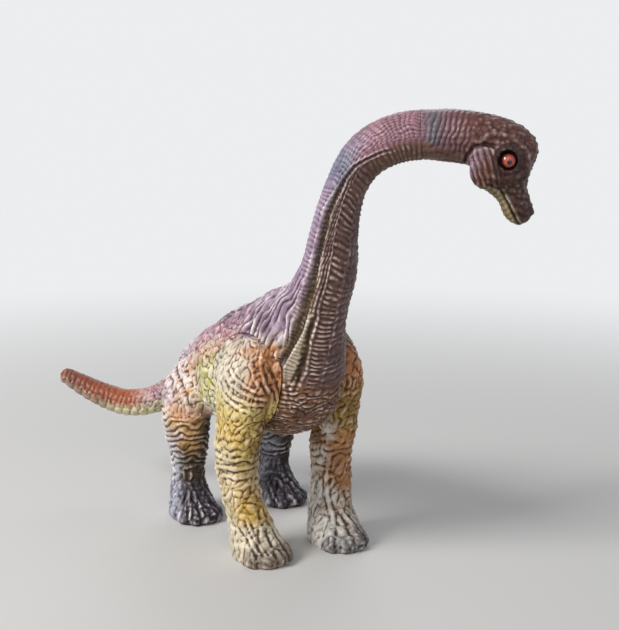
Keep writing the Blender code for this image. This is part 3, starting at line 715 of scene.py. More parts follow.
HIND_RIGHT_FOLDS = (
    (((170, 480), (178, 476), (183, 470), (189, 467)), 1.6, 0.5),
    (((176, 491), (173, 505), (171, 521)), 1.5, 0.55),
    (((183, 492), (181, 507), (179, 523)), 1.5, 0.55),
    (((190, 491), (190, 507), (190, 523)), 1.5, 0.55),
    (((195, 494), (199, 507), (204, 519)), 1.5, 0.55),
    (((200, 495), (207, 506), (216, 517)), 1.5, 0.55),
)
HIND_LEFT_FOLDS = (
    (((277, 477), (283, 487), (289, 497), (301, 506)), 1.5, 0.6),
    (((268, 480), (272, 492), (278, 504)), 1.4, 0.5),
)
# The share of its named height that a fold gets
FOLD_SHARE = 0.75


def strokes(points, normals, folds):
    """Height of the named folds."""
    px = photo_place(points)
    seen = ramp(normals @ BACK, 0.12, 0.45)
    height = np.zeros(len(points))
    for line, width, amount in folds:
        gap, share = stroke_distance(px, line)
        ends = ramp(share, -0.02, 0.15) * ramp(share, 1.02, 0.85)
        fold = bump(gap, 0, width) - 0.5 * bump(gap, width * 1.9, width * 0.7)
        height += FOLD_SHARE * amount * seen * ends * fold
    return height


# Directions in which the wrinkles run
FLANK_GRAIN = np.array((0.0, -0.5, 0.87))
LEG_GRAIN = np.array((0.62, -0.36, 0.70))
# Sizes of the coarse and the fine wrinkles, and pitches of the other patterns, in millimetres
FLANK_PUFFS, LEG_PUFFS = (2.5, 1.5), (2.4, 1.4)
CHEST_WAVE, CHEST_PUFF, DRAPE = 1.65, 1.8, 2.1
TAIL_RING, TAIL_HALF_RING, TAIL_PAD, TAIL_PUFF = 3.0, 1.7, 2.2, 1.9
ANKLE_RIB, TOE_FOLD = 2.3, 1.5
# Height of the back, by the place from front to rear
BACK_LINE = ((-34, 84), (-27, 83), (-22, 82), (-17, 80), (-12, 77), (-7, 74.5), (0, 71.5), (8, 69.5),
             (13, 67), (18, 64.5), (23, 61.5), (28, 58.5), (33, 56), (38, 53.5), (43, 49.5))


def flank_relief(points):
    """Height of the wrinkles that cover the body and run on over the tops of the legs."""
    return crumpled(points, FLANK_PUFFS, 51, FLANK_GRAIN)


def flank_paint(points):
    """Tones of the body, by depth below the back, which run on over the tops of the legs."""
    y = points[:, 1]
    blotch, fleck = noise(points, 7, 61), noise(points, 2.0, 62)
    below = table_at(y, BACK_LINE) - points[:, 2] + 2.0 * blotch + 3.0 * fleck
    colour = coats(PLUM, (
        (mix(ROSE, PALE_LILAC, 0.3 + 0.5 * blotch), ramp(below, 1, 5)),
        (mix(PEACH, PALE_LILAC, 0.4 + 0.5 * fleck), ramp(below, 6, 10)),
        (mix(OLIVE, CREAM, 0.45 + 0.6 * fleck), ramp(below, 9, 16)),
        (PALE_GREY, ramp(below, 25, 32) * 0.7)))
    hung = coats(mix(LILAC, PALE_LILAC, 0.35 + 0.4 * fleck), (
        (CREAM, ramp(below, 11, 16) * 0.6),
        (ORANGE_BROWN, ramp(below, 13, 20)),
        (OLIVE, ramp(below, 30, 38) * 0.6)))
    rear = coats(mix(ROSE, PALE_LILAC, 0.35), (
        (mix(mix(PEACH, ORANGE, 0.3), PALE_GREY, 0.3 + 0.7 * fleck), ramp(below, 7, 13)),
        (mix(PALE_GREY, PALE_LILAC, 0.45 + 0.2 * blotch), ramp(y + 5 * blotch, 14, 24) * 0.8),
        (ROSE, 0.8 * bump(y + 0.3 * below, 15.5, 1.3) * bump(below, 8, 5))))
    return coats(colour, (
        (hung, ramp(y, -8, -20)),
        (rear, ramp(y + 3.0 * fleck - 0.12 * below, 4.5, 10))))


def body_relief(points):
    """Height and tones of the body's skin."""
    x, y, z = points.T
    along = (y - NECK_SEAT[1]) / (TAIL_SEAT[1] - NECK_SEAT[1])
    height = flank_relief(points)
    chest = np.maximum(ramp(y, -27, -33) * ramp(z, 67, 62),
                       ramp(y, -16, -24) * ramp(z, 52, 46))
    wave = 1.6 * noise(points * (0.6, 0.6, 1), 1.8, 55) + 0.8 * noise(points, 6, 56)
    rough = 0.45 * (ribs(z + wave, CHEST_WAVE, 1.4) - 0.45) + 0.75 * puffs(points, CHEST_PUFF, 58, RIGHT)
    height = mix(height, rough, chest)
    # Skin hangs in long folds between the neck's base and the shoulder
    hang = ramp(along, 0.34, 0.2) * ramp(z, 54, 62) * (1 - chest)
    drape = ribs(y * 0.9 + 0.35 * z + 1.9 * noise(points * (1, 1, 0.35), 3.0, 57), DRAPE, 1.5)
    height = mix(height, 0.8 * (drape - 0.4) + 0.3 * height, hang * 0.9)
    # Less relief where the rear edge of a front leg comes close in a turn
    height -= 0.4 * ramp(np.abs(x - MIDDLE), 9, 11) * bump(y, -5, 3) * bump(z, 43, 4)

    # Painted shade beside the front legs; the chest is also darker towards its bottom
    shade_beside_leg = ramp(np.abs(x - MIDDLE), 11.5, 15.5) * ramp(z, 62, 55)
    return height, coats(flank_paint(points), (
        (mix(CHEST_BROWN, ORANGE_BROWN, 0.12 + 0.25 * noise(points, 3, 59)), chest),
        (DARK_BROWN, chest * np.maximum(ramp(z, 50, 38) * 0.5, 0.75 * shade_beside_leg))))


# Height of the tail's middle, by the distance along it
TAIL_LINE = ((0, 41), (7, 36.5), (16, 31.3), (23, 30.4), (29, 31.0), (37, 33.6), (43, 37), (49, 40))


def tail_relief(points):
    """Height and tones of the tail's skin."""
    run = np.array((TAIL_AXIS[0], TAIL_AXIS[1], 0))
    run /= np.linalg.norm(run)
    along = (points - TAIL_SEAT) @ run
    above = points[:, 2] - table_at(along, TAIL_LINE)
    wave = noise(points, 3, 71)
    rings = ribs(along + 0.35 * above + 0.4 * wave, TAIL_RING, 0.9)
    half = ribs(along + 0.2 * above + 0.6 * noise(points, 2, 72), TAIL_HALF_RING, 1.1)
    pads = ribs(above + 0.3 * wave, TAIL_PAD, 0.9)
    edge = above + 0.3 + 0.5 * np.cos(math.tau * along / TAIL_RING)
    lower = ramp(edge, 0.3, -0.3)
    upper = mix(0.42, 0.2, ramp(above, 1.5, 4))
    height = mix(upper * (half * (0.4 + 0.6 * pads) - 0.4),
                 0.5 * (rings * (0.45 + 0.55 * pads) - 0.4), lower)
    near = ramp(along, 26, 14)
    height = mix(height, 0.75 * puffs(points, TAIL_PUFF, 73) + 0.4 * height, 0.3 + 0.7 * near)
    height += 0.25 * bump(edge, 0.3, 0.3) * ramp(along, 12, 20)
    under = mix(mix(CREAM, OLIVE, 0.3 + 0.3 * wave), mix(TAIL_BROWN, CREAM, 0.3), ramp(along, 24, 40))
    return height, coats(mix(TERRACOTTA, TAIL_BROWN, ramp(along + 4 * wave, 26, 44) * 0.8), (
        (mix(ROSE, SHOULDER_PALE, 0.35 + 0.6 * wave), ramp(along + 3 * wave, 24, 17)),
        (PALE_GREY, 0.55 * ramp(along, 16, 9)),
        (under, lower * 0.9)))


def axial_skin():
    """The body, neck, head and tail as one sculpted form."""
    solids = ("torso_shell_right", "torso_shell_left", "neck", "head", "tail")
    parts = [triangles_of(name) for name in solids]
    for centre, axis, radius, reach in SEAT_PLUGS:
        parts.append(plug(centre, axis, radius, -reach, reach))
    for sign, _, centre in LEGS.values():
        parts.append(plug(centre, (sign, 0, 0), *PIN_PLUG))
    return Sculpt(remeshed("axial", parts, AXIAL_VOXEL))


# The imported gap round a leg's seat, what the skins leave of it, and how far from it a point counts as the
# seat's edge, is evened out less, or belongs to its wall
LEG_GAP, LEFT_GAP = 0.30, 0.14
EDGE_BAND, EVEN_BAND, WALL_BAND = 1.2, 0.9, 0.7
# How far below its seat's centre, as a share of the radius, a leg still has the seat's edge
LIP_REACH = 0.55
# Rounds of evening out and of melting: everywhere, at the joints, above a front leg and round its muscle
EVEN_ROUNDS, JOINT_ROUNDS, SHOULDER_ROUNDS, FILL_ROUNDS = 5, 30, 40, 60
# How far right the tail's skin may reach, away from the thigh and beside it
CORNER_OUT, CORNER_IN = -60.0, -9.5


def seats_of(skin, names, is_leg):
    """Where a skin meets the legs' seats: how free each point is, how far it is evened out, and the
    direction in which the relief lifts it, so that a seat's edge stays crisp and round."""
    free, even = np.ones(len(skin.points)), np.ones(len(skin.points))
    direction = skin.soft_normals()
    for name in names:
        sign, radius, centre = LEGS[name]
        past, away = axial_distance(skin.points, centre, np.array((sign, 0, 0)))
        outward = skin.points - centre
        outward[:, 0] = 0
        outward /= np.maximum(norm(outward), 1e-6)[:, None]
        turn = (skin.normals * outward).sum(1)
        off_wall = np.abs(away - radius - LEG_GAP / 2)
        edge = (off_wall < EDGE_BAND) & (past > -0.6) & (past < radius)
        if is_leg:
            edge &= skin.points[:, 2] > centre[2] - radius * LIP_REACH
        wall = edge & (np.abs(turn) > 0.75) & (off_wall < WALL_BAND) & ((turn > 0) == is_leg)
        seat = (past > -1.2) & (past < 0.8) & (away < radius + 0.6)
        direction[edge] = (skin.normals - turn[:, None] * outward)[edge]
        free[seat | wall] = 0
        even[seat | (edge & (off_wall < EVEN_BAND))] = 0
        close = (LEG_GAP - LEFT_GAP) / 2
        target = radius + close if is_leg else radius + LEG_GAP - close
        skin.points[wall] += outward[wall] * (target - away[wall])[:, None]
    skin.store()
    return free, even, direction


def sculpt_axial(skin):
    """Give the joined form its folds, scales and tones."""
    _, even, _ = seats_of(skin, LEGS, False)
    skin.smooth(EVEN_ROUNDS, even)
    past_head, _ = axial_distance(skin.points, HEAD_SEAT, HEAD_AXIS)
    past_neck, from_neck = axial_distance(skin.points, NECK_SEAT, NECK_AXIS)
    past_tail, from_tail = axial_distance(skin.points, TAIL_SEAT, TAIL_AXIS)
    near_neck = bump(past_neck, 0, 3.5) * ramp(from_neck, 16, 12)
    near_tail = bump(past_tail, 0, 4.0) * ramp(from_tail, 14, 9)
    near_head = bump(past_head, 0, 2.5)
    skin.smooth(JOINT_ROUNDS, even * np.clip(near_neck + near_tail + near_head, 0, 1), MELT)
    free, _, direction = seats_of(skin, LEGS, False)

    points, normals = skin.points, skin.soft_normals()
    along, angle = neck_places(points)
    rump = ramp(past_tail, -4, 3) * ramp(from_tail, 60, 50) * (points[:, 1] > 25)
    height, colour = body_relief(points)
    start = table_at(np.abs(angle), ((0, 4), (45, 2), (62, -9), (180, -9)))
    on_neck = np.maximum(ramp(along, start, start + 10),
                         ramp(past_neck, 2, 10) * ramp(from_neck, 60, 50))
    front = ramp(np.abs(angle), 62, 76) * ramp(along, -25, -19) * ramp(points[:, 1], -24, -31)
    on_neck = np.maximum(on_neck, front)
    tail_height, tail_colour = tail_relief(points)
    tail_height -= 0.5 * ramp(past_tail, 18, 10)
    # The tail's right side is slim where it turns against the thigh
    beside_thigh = bump(points[:, 1], 33, 6) * bump(points[:, 2], 38, 5.5)
    tail_height -= 1.6 * beside_thigh * ramp(points[:, 0], -6.0, -9.0)
    for share, (own_height, own_colour) in ((on_neck, neck_relief(points, along, angle)),
                                            (ramp(past_head, -2, 4), head_relief(points, normals)),
                                            (rump, (tail_height, tail_colour))):
        height, colour = mix(height, own_height, share), mix(colour, own_colour, share)
    skin.height = height + (1 - 0.55 * on_neck) * strokes(points, normals, BODY_FOLDS + RUMP_FOLDS)
    skin.raise_by(skin.height * free, direction)
    # The tail's corner at the right thigh's seat is cut back for the same turn
    corner = ramp(past_tail, -2.0, -0.2) * ramp(points[:, 1], 40, 37)
    skin.points[:, 0] = np.maximum(skin.points[:, 0], CORNER_OUT + (CORNER_IN - CORNER_OUT) * corner)
    skin.store()
    return colour


# The legs

LEG_FOLDS = {
    "front_leg_right": FRONT_RIGHT_FOLDS + SHOULDER_FOLDS,
    "front_leg_left": FRONT_LEFT_FOLDS,
    "hind_leg_right": HIND_RIGHT_FOLDS + RUMP_FOLDS,
    "hind_leg_left": HIND_LEFT_FOLDS,
}
# Each kind of leg: the heights between which its knee lies, the pitch of the rings there, how far they
# cover the wrinkles, and the number of toes
LEG_KINDS = {"front": (25, 35, 2.6, 0.65, 4), "hind": (18, 33, 2.1, 0.95, 5)}
# Degrees round the sole that a foot's toes take up
TOE_FAN = 130


def toes(points, count, sole):
    """Height of a foot's toes, and where its nails are, round the sole's centre."""
    x, y, z = points.T
    ahead, across = -(y - sole[1]), x - sole[0]
    angle = np.degrees(np.arctan2(across, ahead))
    spread = TOE_FAN / count
    away = np.hypot(ahead, across)
    in_fan = ramp(np.abs(angle), 78, 62) * ramp(away, 2.0, 4.5)
    toe = np.abs(np.cos(math.pi * (angle / spread + (0 if count % 2 else 0.5))))
    rise = (toe ** 0.6 - 0.7) * in_fan * ramp(z, 13, 7)
    cross = ribs(away + 0.6 * z + 0.3 * noise(points, 2, 91), TOE_FOLD, 0.6) - 0.5
    nail = bump(z, 1.5, 1.2) * ramp(toe, 0.7, 0.9) * in_fan
    return 0.7 * rise + 0.36 * cross * in_fan * ramp(z, 14, 9) * ramp(toe, 0.3, 0.6), nail


def front_tones(points, normals, sole, right, tone):
    """Paint of a front leg below its shoulder, with painted shade on the right leg's side that faces the
    camera's right and painted highlights on the lit edges.
    """
    x, y, z = points.T
    turned = normals @ RIGHT
    front = ramp(y, sole[1] - 2, sole[1] - 6)
    if right:
        return coats(mix(PALE_YELLOW, YELLOW, ramp(z, 50, 42) * (0.75 + 0.25 * tone)), (
            (PALE_YELLOW, bump(z, 32, 4) * 0.5),
            (STRONG_YELLOW, bump(z, 22, 6) * 0.9),
            # Painted shade on the side that faces the camera's right
            (OCHRE, ramp(turned, 0.1, 0.7) * 0.7),
            (OCHRE_SHADE, ramp(turned, 0.45, 0.95) * ramp(z, 20, 28) * 0.75),
            # Painted highlight: pale beige up the rear edge
            (BEIGE, ramp(y, sole[1] - 0.5, sole[1] + 3.5) * ramp(z, 40, 30) * 0.7),
            (BEIGE, ramp(z, 14, 9)),
            (TOE_BROWN, ramp(z, 8, 4) * front * 0.8)))
    across = x + 0.25 * (y - sole[1]) + 2.2 * tone + 1.2 * noise(points, 2.0, 88)
    inner = ramp(across, sole[0] + 2, sole[0] - 2.5)
    return coats(mix(OLIVE_BROWN, TAN, ramp(z, 40, 32)), (
        (OCHRE, 0.4 * bump(z, 42, 6)),
        # Painted highlight: a pale grey strip on the inner side, towards the window lamp
        (PALE_GREY, inner * ramp(z, 42, 34)),
        (FOOT_GREY, ramp(z + 3 * tone, 20, 9) * (0.9 - 0.6 * inner)),
        (TOE_GREY, ramp(z, 8, 3) * front * 0.8)))


def hind_tones(points, normals, sole, right, tone):
    """Paint of a hind leg below its thigh, with painted shade on the side that faces the camera's right and
    painted pale and bluish highlights on the lit edges.
    """
    x, y, z = points.T
    turned = normals @ RIGHT
    # Painted highlight: pale grey on the rear edge of the right leg. The left leg is dark, with a painted
    # bluish highlight on its inner side
    side = [(PALE_GREY, ramp(y, sole[1] + 1, sole[1] + 4.5) * (0.5 + 0.35 * tone))]
    if not right:
        side = [(DARK_SHIN, ramp(z, 40, 33)),
                (COLD_HIGHLIGHT, ramp(x, sole[0] + 0.5, sole[0] - 2.5) * (0.22 + 0.35 * tone) * ramp(z, 36, 30))]
    return coats(mix(mix(PEACH, ORANGE, 0.5), RING_OCHRE, ramp(z, 37, 33) * 0.9), (
        # Painted shade on the side that faces the camera's right
        (OLIVE_BROWN, 0.6 * ramp(turned, 0.2, 0.8)),
        (DARK_SHIN, 0.85 * ramp(turned, 0.35, 0.8) * ramp(z, 40, 34)),
        (mix(DARK_SHIN, OLIVE_BROWN, 0.15), ramp(z + 2 * tone, 26, 20)),
        *side,
        (FOOT_PURPLE, ramp(z, 15, 9)),
        # Painted bluish highlight low on the side that faces the camera's left
        (COLD_HIGHLIGHT, ramp(turned, -0.25, -0.75) * ramp(z, 34, 26) * (0.4 + 0.5 * tone))))


def leg_relief(name, points, normals):
    """Height and tones of one leg's skin."""
    hind, right = name.startswith("hind"), name.endswith("right")
    knee_low, knee_high, pitch, cover, toe_count = LEG_KINDS[name.split("_")[0]]
    x, y, z = points.T
    centre = LEGS[name][2]
    sole = points[z < 1.5].mean(0)
    wrinkles = crumpled(points, LEG_PUFFS, 81, LEG_GRAIN)
    top = ramp(z, centre[2] - 8, centre[2] - 1)
    height = mix(wrinkles, flank_relief(points), top)
    rings = ribs(z + 1.5 * noise(points, 3.0, 85) + 0.25 * (y - sole[1]), pitch, 1.2)
    at_knee = ramp(z, knee_low - 5, knee_low + 1) * ramp(z, knee_high + 5, knee_high - 1)
    height = mix(height, 0.65 * (rings - 0.45) + 0.45 * wrinkles, at_knee * cover)
    ankle = ramp(z, 18, 13)
    upright = ribs(x * 0.8 + y * 0.5 + 0.9 * noise(points, 3, 87), ANKLE_RIB, 1.2)
    height = mix(height, 0.45 * (upright - 0.45) + 0.7 * wrinkles, ankle * 0.8)
    toe_height, nail = toes(points, toe_count, sole)
    height = mix(height, height * 0.75, ramp(z, 9, 5)) + toe_height + 0.4 * nail
    height += strokes(points, normals, LEG_FOLDS[name])
    # Less relief where the tail or the body comes close in a turn
    if hind:
        height -= 0.9 * ramp(y, centre[1] + 5, centre[1] + 9) * ramp(z, 30, 36)
    else:
        rear = ramp(y, centre[1] + 5, centre[1] + 8) * ramp(z, centre[2] - 18, centre[2] - 15)
        height -= 0.65 * rear * ramp(z, centre[2] - 4, centre[2] - 7)

    tone = noise(points, 5, 89)
    lower = (hind_tones if hind else front_tones)(points, normals, sole, right, tone)
    upper = flank_paint(points)
    if not hind:
        shoulder = mix(SHOULDER_PALE if right else ORANGE, ORANGE_BROWN, ramp(y + 1.5 * tone, -24, -30))
        upper = mix(upper, shoulder, ramp(z, 66, 60) * 0.85)
    edge = centre[2] - (2 if hind else 0) + 2.5 * tone
    colour = mix(lower, upper, ramp(z, edge - 5, edge + 3))
    return height, mix(colour, TOE_BROWN if right and not hind else TOE_GREY, 0.5 * np.clip(nail, 0, 1))


# A stout muscle on the inner front of each front leg, where the frame's leg is cut back
FILL_RADIUS = 5.0
FILL_TOP, FILL_FOOT = np.array((-19.0, -20.1, 40.5)), np.array((-19.0, -16.9, 27.0))


def leg_fill(sign):
    """The muscle of one front leg."""
    top, foot = FILL_TOP.copy(), FILL_FOOT.copy()
    if sign > 0:
        top[0] = foot[0] = 2 * MIDDLE - FILL_TOP[0] + 0.9
    run = top - foot
    length = np.linalg.norm(run)
    return plug(foot, run / length, FILL_RADIUS, 0, length)


def leg_skin(name):
    """A sculpted leg and its tones."""
    sign, radius, centre = LEGS[name]
    parts = [triangles_of(name)]
    front = name.startswith("front")
    if front:
        parts.append(leg_fill(sign))
    skin = Sculpt(remeshed(name + "_skin", parts, LEG_VOXEL))
    _, even, _ = seats_of(skin, [name], True)
    skin.smooth(EVEN_ROUNDS, even)
    past, _ = axial_distance(skin.points, centre, np.array((sign, 0, 0)))
    shoulder = ramp(skin.points[:, 2], centre[2] - radius * 1.3, centre[2] - radius)
    skin.smooth(SHOULDER_ROUNDS, even * shoulder * ramp(past, 0.5, 2.5), MELT)
    if front:
        skin.smooth(FILL_ROUNDS, even * bump(skin.points[:, 2], 33, 5) * ramp(past, 9, 5), MELT)
    free, _, direction = seats_of(skin, [name], True)
    skin.height, colour = leg_relief(name, skin.points, skin.soft_normals())
    skin.raise_by(skin.height * free * ramp(skin.points[:, 2], 0.0, 1.0), direction)
    skin.points[:, 2] = np.maximum(skin.points[:, 2], 0.0)
    skin.store()
    return skin, colour


# Finishing

# Millimetres from the deepest crease to the highest ridge, beside the broad form and in all, and the rounds
# that make the broad form
RIDGE_RANGE = 0.62
HEIGHT_RANGE = 1.6
BROAD_ROUNDS = 9


def tones_on(skin, colour):
    """Store the paint, and how far each point lies in a crease or on a ridge."""
    broad = skin.height
    for _ in range(BROAD_ROUNDS):
        broad = skin.neighbour_mean(broad)
    local = skin.height - broad
    skin.keep("paint_tone", np.clip(colour, 0, 1))
    skin.keep("relief", np.clip(0.5 + local / RIDGE_RANGE, 0, 1))
    skin.keep("depth", np.clip(0.5 + skin.height / HEIGHT_RANGE, 0, 1))


class Nodes:
    """The nodes of a material or a world. A call adds one and returns the output that is asked for."""

    def __init__(self, owner):
        owner.use_nodes = True
        self.tree = owner.node_tree

    def __call__(self, kind, inputs, output=0, **settings):
        made = self.tree.nodes.new("ShaderNode" + kind)
        for key, value in settings.items():
            setattr(made, key, value)
        self.feed(made.name, inputs)
        return made.outputs[output]

    def feed(self, name, inputs):
        """Give a node its inputs, as plain values or as sockets to join."""
        for key, value in inputs.items():
            socket = self.tree.nodes[name].inputs[key]
            if isinstance(value, bpy.types.NodeSocket):
                self.tree.links.new(value, socket)
            else:
                socket.default_value = value

    def ranged(self, value, low, high, start=0.0, end=1.0):
        """A value carried from one range to another and held at its ends."""
        inputs = {"Value": value, "From Min": low, "From Max": high, "To Min": start, "To Max": end}
        return self("MapRange", inputs)

    def mixed(self, share, first, second, way="MIX"):
        """Two colours mixed by a share."""
        inputs = {"Factor": share, "A": first, "B": second}
        return self("Mix", inputs, "Result", data_type="RGBA", blend_type=way)


# The paint's blotches and the fine grain as noise scales, the grain's depth in metres, and the shine
BLOTCH_SCALE, GRAIN_SCALE = 160, 1400
GRAIN_DEPTH = 0.00016
SHEEN = 0.32


def skin_material(name, roughness, fine_size, brush_and_highlight_share):
    """Painted PVC: tones from the sculpt, a dark wash with painted shade in creases, pale dry-brushed paint
    with painted highlights on ridges, and a fine grain.
    """
    material = bpy.data.materials.new(name)
    make = Nodes(material)
    tone = make("Attribute", {}, "Color", attribute_name="paint_tone")
    relief = make("Attribute", {}, "Fac", attribute_name="relief")
    depth = make("Attribute", {}, "Fac", attribute_name="depth")
    where = make("TexCoord", {}, "Object")
    blotch = make("TexNoise", {"Scale": BLOTCH_SCALE, "Detail": 5, "Vector": where})
    shade = make.ranged(blotch, 0.3, 0.7, 0.78, 1.22)
    varied = make("VectorMath", {0: tone, "Scale": shade}, operation="SCALE")
    # The dark wash, which is also painted shade, gathers where the relief is low, and deep creases get more
    washed = make.mixed(make.ranged(relief, 0.52, 0.2), varied, WASH_AND_SHADE_TINT, "MULTIPLY")
    deep_shaded = make.mixed(make.ranged(depth, 0.32, 0.0, 0.0, 0.6), washed, DEEP_SHADE_TINT, "MULTIPLY")
    # Pale paint, which is also a painted highlight, is dragged over the ridges and breaks up in specks
    high = make.ranged(relief, 0.6, 0.95, 0.0, brush_and_highlight_share)
    broken = make("Math", {0: high, 1: make.ranged(blotch, 0.35, 0.6)}, operation="MULTIPLY")
    brushed = make.mixed(broken, deep_shaded, (*BRUSH_AND_HIGHLIGHT, 1))
    gloss = make.ranged(relief, 0.0, 1.0, roughness + 0.14, roughness - 0.06)
    speck = make("TexVoronoi", {"Scale": 1 / fine_size, "Vector": where})
    grain = make("TexNoise", {"Scale": GRAIN_SCALE, "Detail": 3, "Vector": where})
    total = make("Math", {0: speck, 1: -1.0, 2: grain}, operation="MULTIPLY_ADD")
    rough = make("Bump", {"Strength": 0.55, "Distance": GRAIN_DEPTH, "Height": total})
    make.feed("Principled BSDF", {"Specular IOR Level": SHEEN, "Base Color": brushed, "Roughness": gloss,
                                  "Normal": rough})
    return material


def dress(item, body, replaced, material):
    """Hang a finished skin on its body."""
    item.data.materials.clear()
    item.data.materials.append(material)
    item.data.shade_smooth()
    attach(item, body)
    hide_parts(*replaced)


# The air between two skins that meet at a joint, in millimetres
PARTING = 0.10


def cut_off(item, name, seat, axis):
    """Split a skin on a plane, close both parts, and return the part beyond the plane."""
    far = linked(name, item.data.copy())
    for part, keep_far in ((far, True), (item, False)):
        bm = bmesh.new()
        bm.from_mesh(part.data)
        geometry = bm.verts[:] + bm.edges[:] + bm.faces[:]
        place = seat + axis * (PARTING / 2 if keep_far else -PARTING / 2)
        bmesh.ops.bisect_plane(bm, geom=geometry, dist=1e-7, plane_co=Vector(place * MM),
                               plane_no=Vector(axis), clear_inner=keep_far, clear_outer=not keep_far)
        bmesh.ops.holes_fill(bm, edges=[edge for edge in bm.edges if edge.is_boundary], sides=0)
        bm.to_mesh(part.data)
        bm.free()
    return far


def split_axial(item):
    """Cut the joined form on the joints' planes and the shell's own seam."""
    neck = cut_off(item, "neck_skin", NECK_SEAT, NECK_AXIS)
    head = cut_off(neck, "head_skin", HEAD_SEAT, HEAD_AXIS)
    tail = cut_off(item, "tail_skin", TAIL_SEAT, TAIL_AXIS)
    left = cut_off(item, "torso_skin_left", np.array((MIDDLE, 0, 0)), np.array((1.0, 0, 0)))
    item.name = "torso_skin_right"
    return {"neck": neck, "head": head, "tail": tail, "left": left, "right": item}


# The eyes and the pins

# Scale of the noise that breaks up their colour
SMALL_GRAIN = 900
EYE_ORANGE = paint(206, 84, 54)
EYE_DEEP = paint(120, 34, 20)
PUPIL = paint(22, 10, 8)
PIN_DARK, PIN_PALE = paint(196, 190, 176), paint(216, 211, 198)
# The pupil's centre ahead of the eye's and its half height, as shares of the eye's radius
PUPIL_AHEAD, PUPIL_HEIGHT = 0.14, 0.46


def eye_material():
    """Gloss orange-red paint, a little uneven."""
    material = bpy.data.materials.new("eye_gloss")
    make = Nodes(material)
    shade = make("Attribute", {}, "Color", attribute_name="paint_tone")
    colour = make.mixed(0.35, shade, make("TexNoise", {"Scale": SMALL_GRAIN}, "Color"), "MULTIPLY")
    make.feed("Principled BSDF", {"Base Color": colour, "Roughness": 0.22, "Coat Weight": 0.3})
    return material


def eye(name, material):
    """A painted eye in place of the CAD bead."""
    low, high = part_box(name)
    centre = (low + high) / 2
    radius = (high.z - low.z) / 2
    bm = bmesh.new()
    bmesh.ops.create_icosphere(bm, subdivisions=6, radius=radius)
    item = linked(name + "_skin", mesh_from(bm, name + "_skin"))
    item.data.transform(Matrix.Translation(centre))
    skin = Sculpt(item)
    local = (skin.points - np.array(centre) / MM) / (radius / MM)
    ahead, above = local @ NECK_OUT - PUPIL_AHEAD, local[:, 2]
    rim = np.hypot(ahead, above)
    drop = 0.3 * (1 - ramp(above, -0.2, 0.35))
    pupil = np.hypot((ahead - 0.02) / (drop + 0.05), (above + 0.04) / PUPIL_HEIGHT)
    # Orange to dark red towards the rim, a dark pupil, and at the edge the socket's dark paint, partly
    # painted shade where the eye sinks in
    skin.keep("paint_tone", coats(mix(EYE_ORANGE, EYE_DEEP, ramp(rim, 0.4, 0.8)), (
        (PUPIL, ramp(pupil, 1.2, 0.8)),
        (SOCKET_TONE_AND_SHADE, ramp(rim, 0.7, 0.92)))))
    dress(item, "head", [name], material)


def pin_material():
    """Bare natural plastic with a faint moulding grain."""
    material = bpy.data.materials.new("pin_plastic")
    make = Nodes(material)
    grain = make("TexNoise", {"Scale": SMALL_GRAIN})
    colour = make.mixed(make.ranged(grain, 0.0, 1.0), (*PIN_DARK, 1), (*PIN_PALE, 1))
    make.feed("Principled BSDF", {"Base Color": colour, "Roughness": 0.42})
    return material


# The stage

FLOOR_TONE = (0.60, 0.60, 0.60, 1)
BACKGROUND_TONE = (0.84, 0.85, 0.86, 1)
STUDIO_TONE = (0.97, 0.98, 1.0, 1)
STUDIO_STRENGTH = 0.24
# Half the floor's width, and where the camera sees it fade into the background, in metres
FLOOR_REACH = 6
FADE_START, FADE_END = 0.12, 0.5
LAMP_TARGET = Vector((0, 0, 0.06))
# Each lamp's place and width in metres, its power in watts and its colour
LAMPS = {
    "window": ((-0.72, 0.06, 0.58), 0.36, 7.6, (1.0, 0.98, 0.95)),
    "fill": ((-0.42, -0.75, 0.42), 0.7, 2.2, (1.0, 0.97, 0.93)),
    "rim": ((0.5, 0.65, 0.6), 0.5, 1.6, (0.95, 0.97, 1.0)),
}


def background_rays(make):
    """A value of 1 for the camera's rays and for those that shiny and clear surfaces send on."""
    value = make("LightPath", {}, "Is Camera Ray")
    for kind in ("Is Glossy Ray", "Is Transmission Ray"):
        value = make("Math", {0: value, 1: make("LightPath", {}, kind)}, operation="MAXIMUM")
    return value


def stage():
    """A plain pale floor, a white background for the camera, and soft studio light."""
    bm = bmesh.new()
    bmesh.ops.create_grid(bm, x_segments=1, y_segments=1, size=FLOOR_REACH)
    floor = linked("floor", mesh_from(bm, "floor"))
    material = bpy.data.materials.new("floor")
    make = Nodes(material)
    make.feed("Principled BSDF", {"Base Color": FLOOR_TONE, "Roughness": 0.65})
    # Far from the figure the camera sees the floor in the background's own plain tone
    away = make("VectorMath", {0: make("TexCoord", {}, "Object")}, "Value", operation="LENGTH")
    reach = {"Value": away, "From Min": FADE_START, "From Max": FADE_END}
    far = make("MapRange", reach, interpolation_type="SMOOTHSTEP")
    share = make("Math", {0: far, 1: background_rays(make)}, operation="MULTIPLY")
    near = make.tree.nodes["Principled BSDF"].outputs["BSDF"]
    blend = make("MixShader", {"Fac": share, 1: near, 2: make("Emission", {"Color": BACKGROUND_TONE})})
    make.feed("Material Output", {"Surface": blend})
    floor.data.materials.append(material)

    world = bpy.data.worlds.new("studio")
    bpy.context.scene.world = world
    make = Nodes(world)
    make.feed("Background", {"Color": STUDIO_TONE, "Strength": STUDIO_STRENGTH})
    light = make.tree.nodes["Background"].outputs["Background"]
    plain = make("Background", {"Color": BACKGROUND_TONE, "Strength": 1})
    chosen = make("MixShader", {"Fac": background_rays(make), 1: light, 2: plain})
    make.feed("World Output", {"Surface": chosen})
    for name, values in LAMPS.items():
        lamp(name, *values)


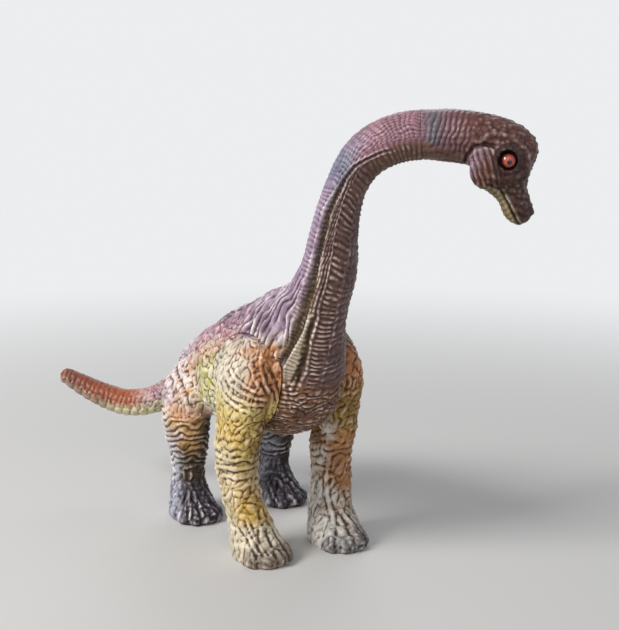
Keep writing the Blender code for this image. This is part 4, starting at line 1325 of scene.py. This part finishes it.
def aimed(name, data, place, direction):
    """A new lamp or camera at a place, turned to look in a direction."""
    item = linked(name, data)
    item.location = place
    item.rotation_mode = "QUATERNION"
    item.rotation_quaternion = Vector(direction).to_track_quat("-Z", "Y")
    return item


def lamp(name, place, size, power, colour):
    """A square soft lamp that looks at the figure."""
    data = bpy.data.lights.new(name, "AREA")
    data.size = size
    data.energy = power
    data.color = colour
    aimed(name, data, place, LAMP_TARGET - Vector(place))


def camera():
    """The photograph's camera."""
    data = bpy.data.cameras.new("photo")
    data.sensor_width = SENSOR
    data.lens = SENSOR * FOCAL_PX / PHOTO_HEIGHT
    data.clip_start = 0.01
    bpy.context.scene.camera = aimed("photo", data, CAMERA_PLACE * MM, -BACK)


# Each slot's roughness, the size of its fine grain in metres and its share of pale paint and painted
# highlight on ridges
FINISHES = {
    "body_pvc": (0.34, 0.0011, 0.85),
    "neck_pvc": (0.31, 0.0009, 0.6),
    "head_pvc": (0.36, 0.0009, 0.36),
    "tail_pvc": (0.36, 0.0010, 0.5),
    "front_leg_pvc": (0.35, 0.0011, 0.7),
    "hind_leg_pvc": (0.36, 0.0011, 0.75),
}


def main():
    """Make every skin, dress it and set the stage."""
    bpy.context.scene.view_settings.view_transform = "Standard"
    camera()
    stage()
    materials = {slot: skin_material(slot, *values) for slot, values in FINISHES.items()}
    skin = axial_skin()
    tones_on(skin, sculpt_axial(skin))
    parts = split_axial(skin.item)
    for side in ("right", "left"):
        dress(parts[side], "body", ["torso_shell_" + side], materials["body_pvc"])
    for name in ("neck", "head", "tail"):
        dress(parts[name], name, [name], materials[name + "_pvc"])
    for name in LEGS:
        leg, colour = leg_skin(name)
        tones_on(leg, colour)
        slot = name.rsplit("_", 1)[0] + "_pvc"
        dress(leg.item, name, [name], materials[slot])
    gloss = eye_material()
    for name in ("eye_right", "eye_left"):
        eye(name, gloss)
    bare = pin_material()
    for name, item in frame["nodes"].items():
        if name.endswith("_pin"):
            item.data.materials.clear()
            item.data.materials.append(bare)


main()
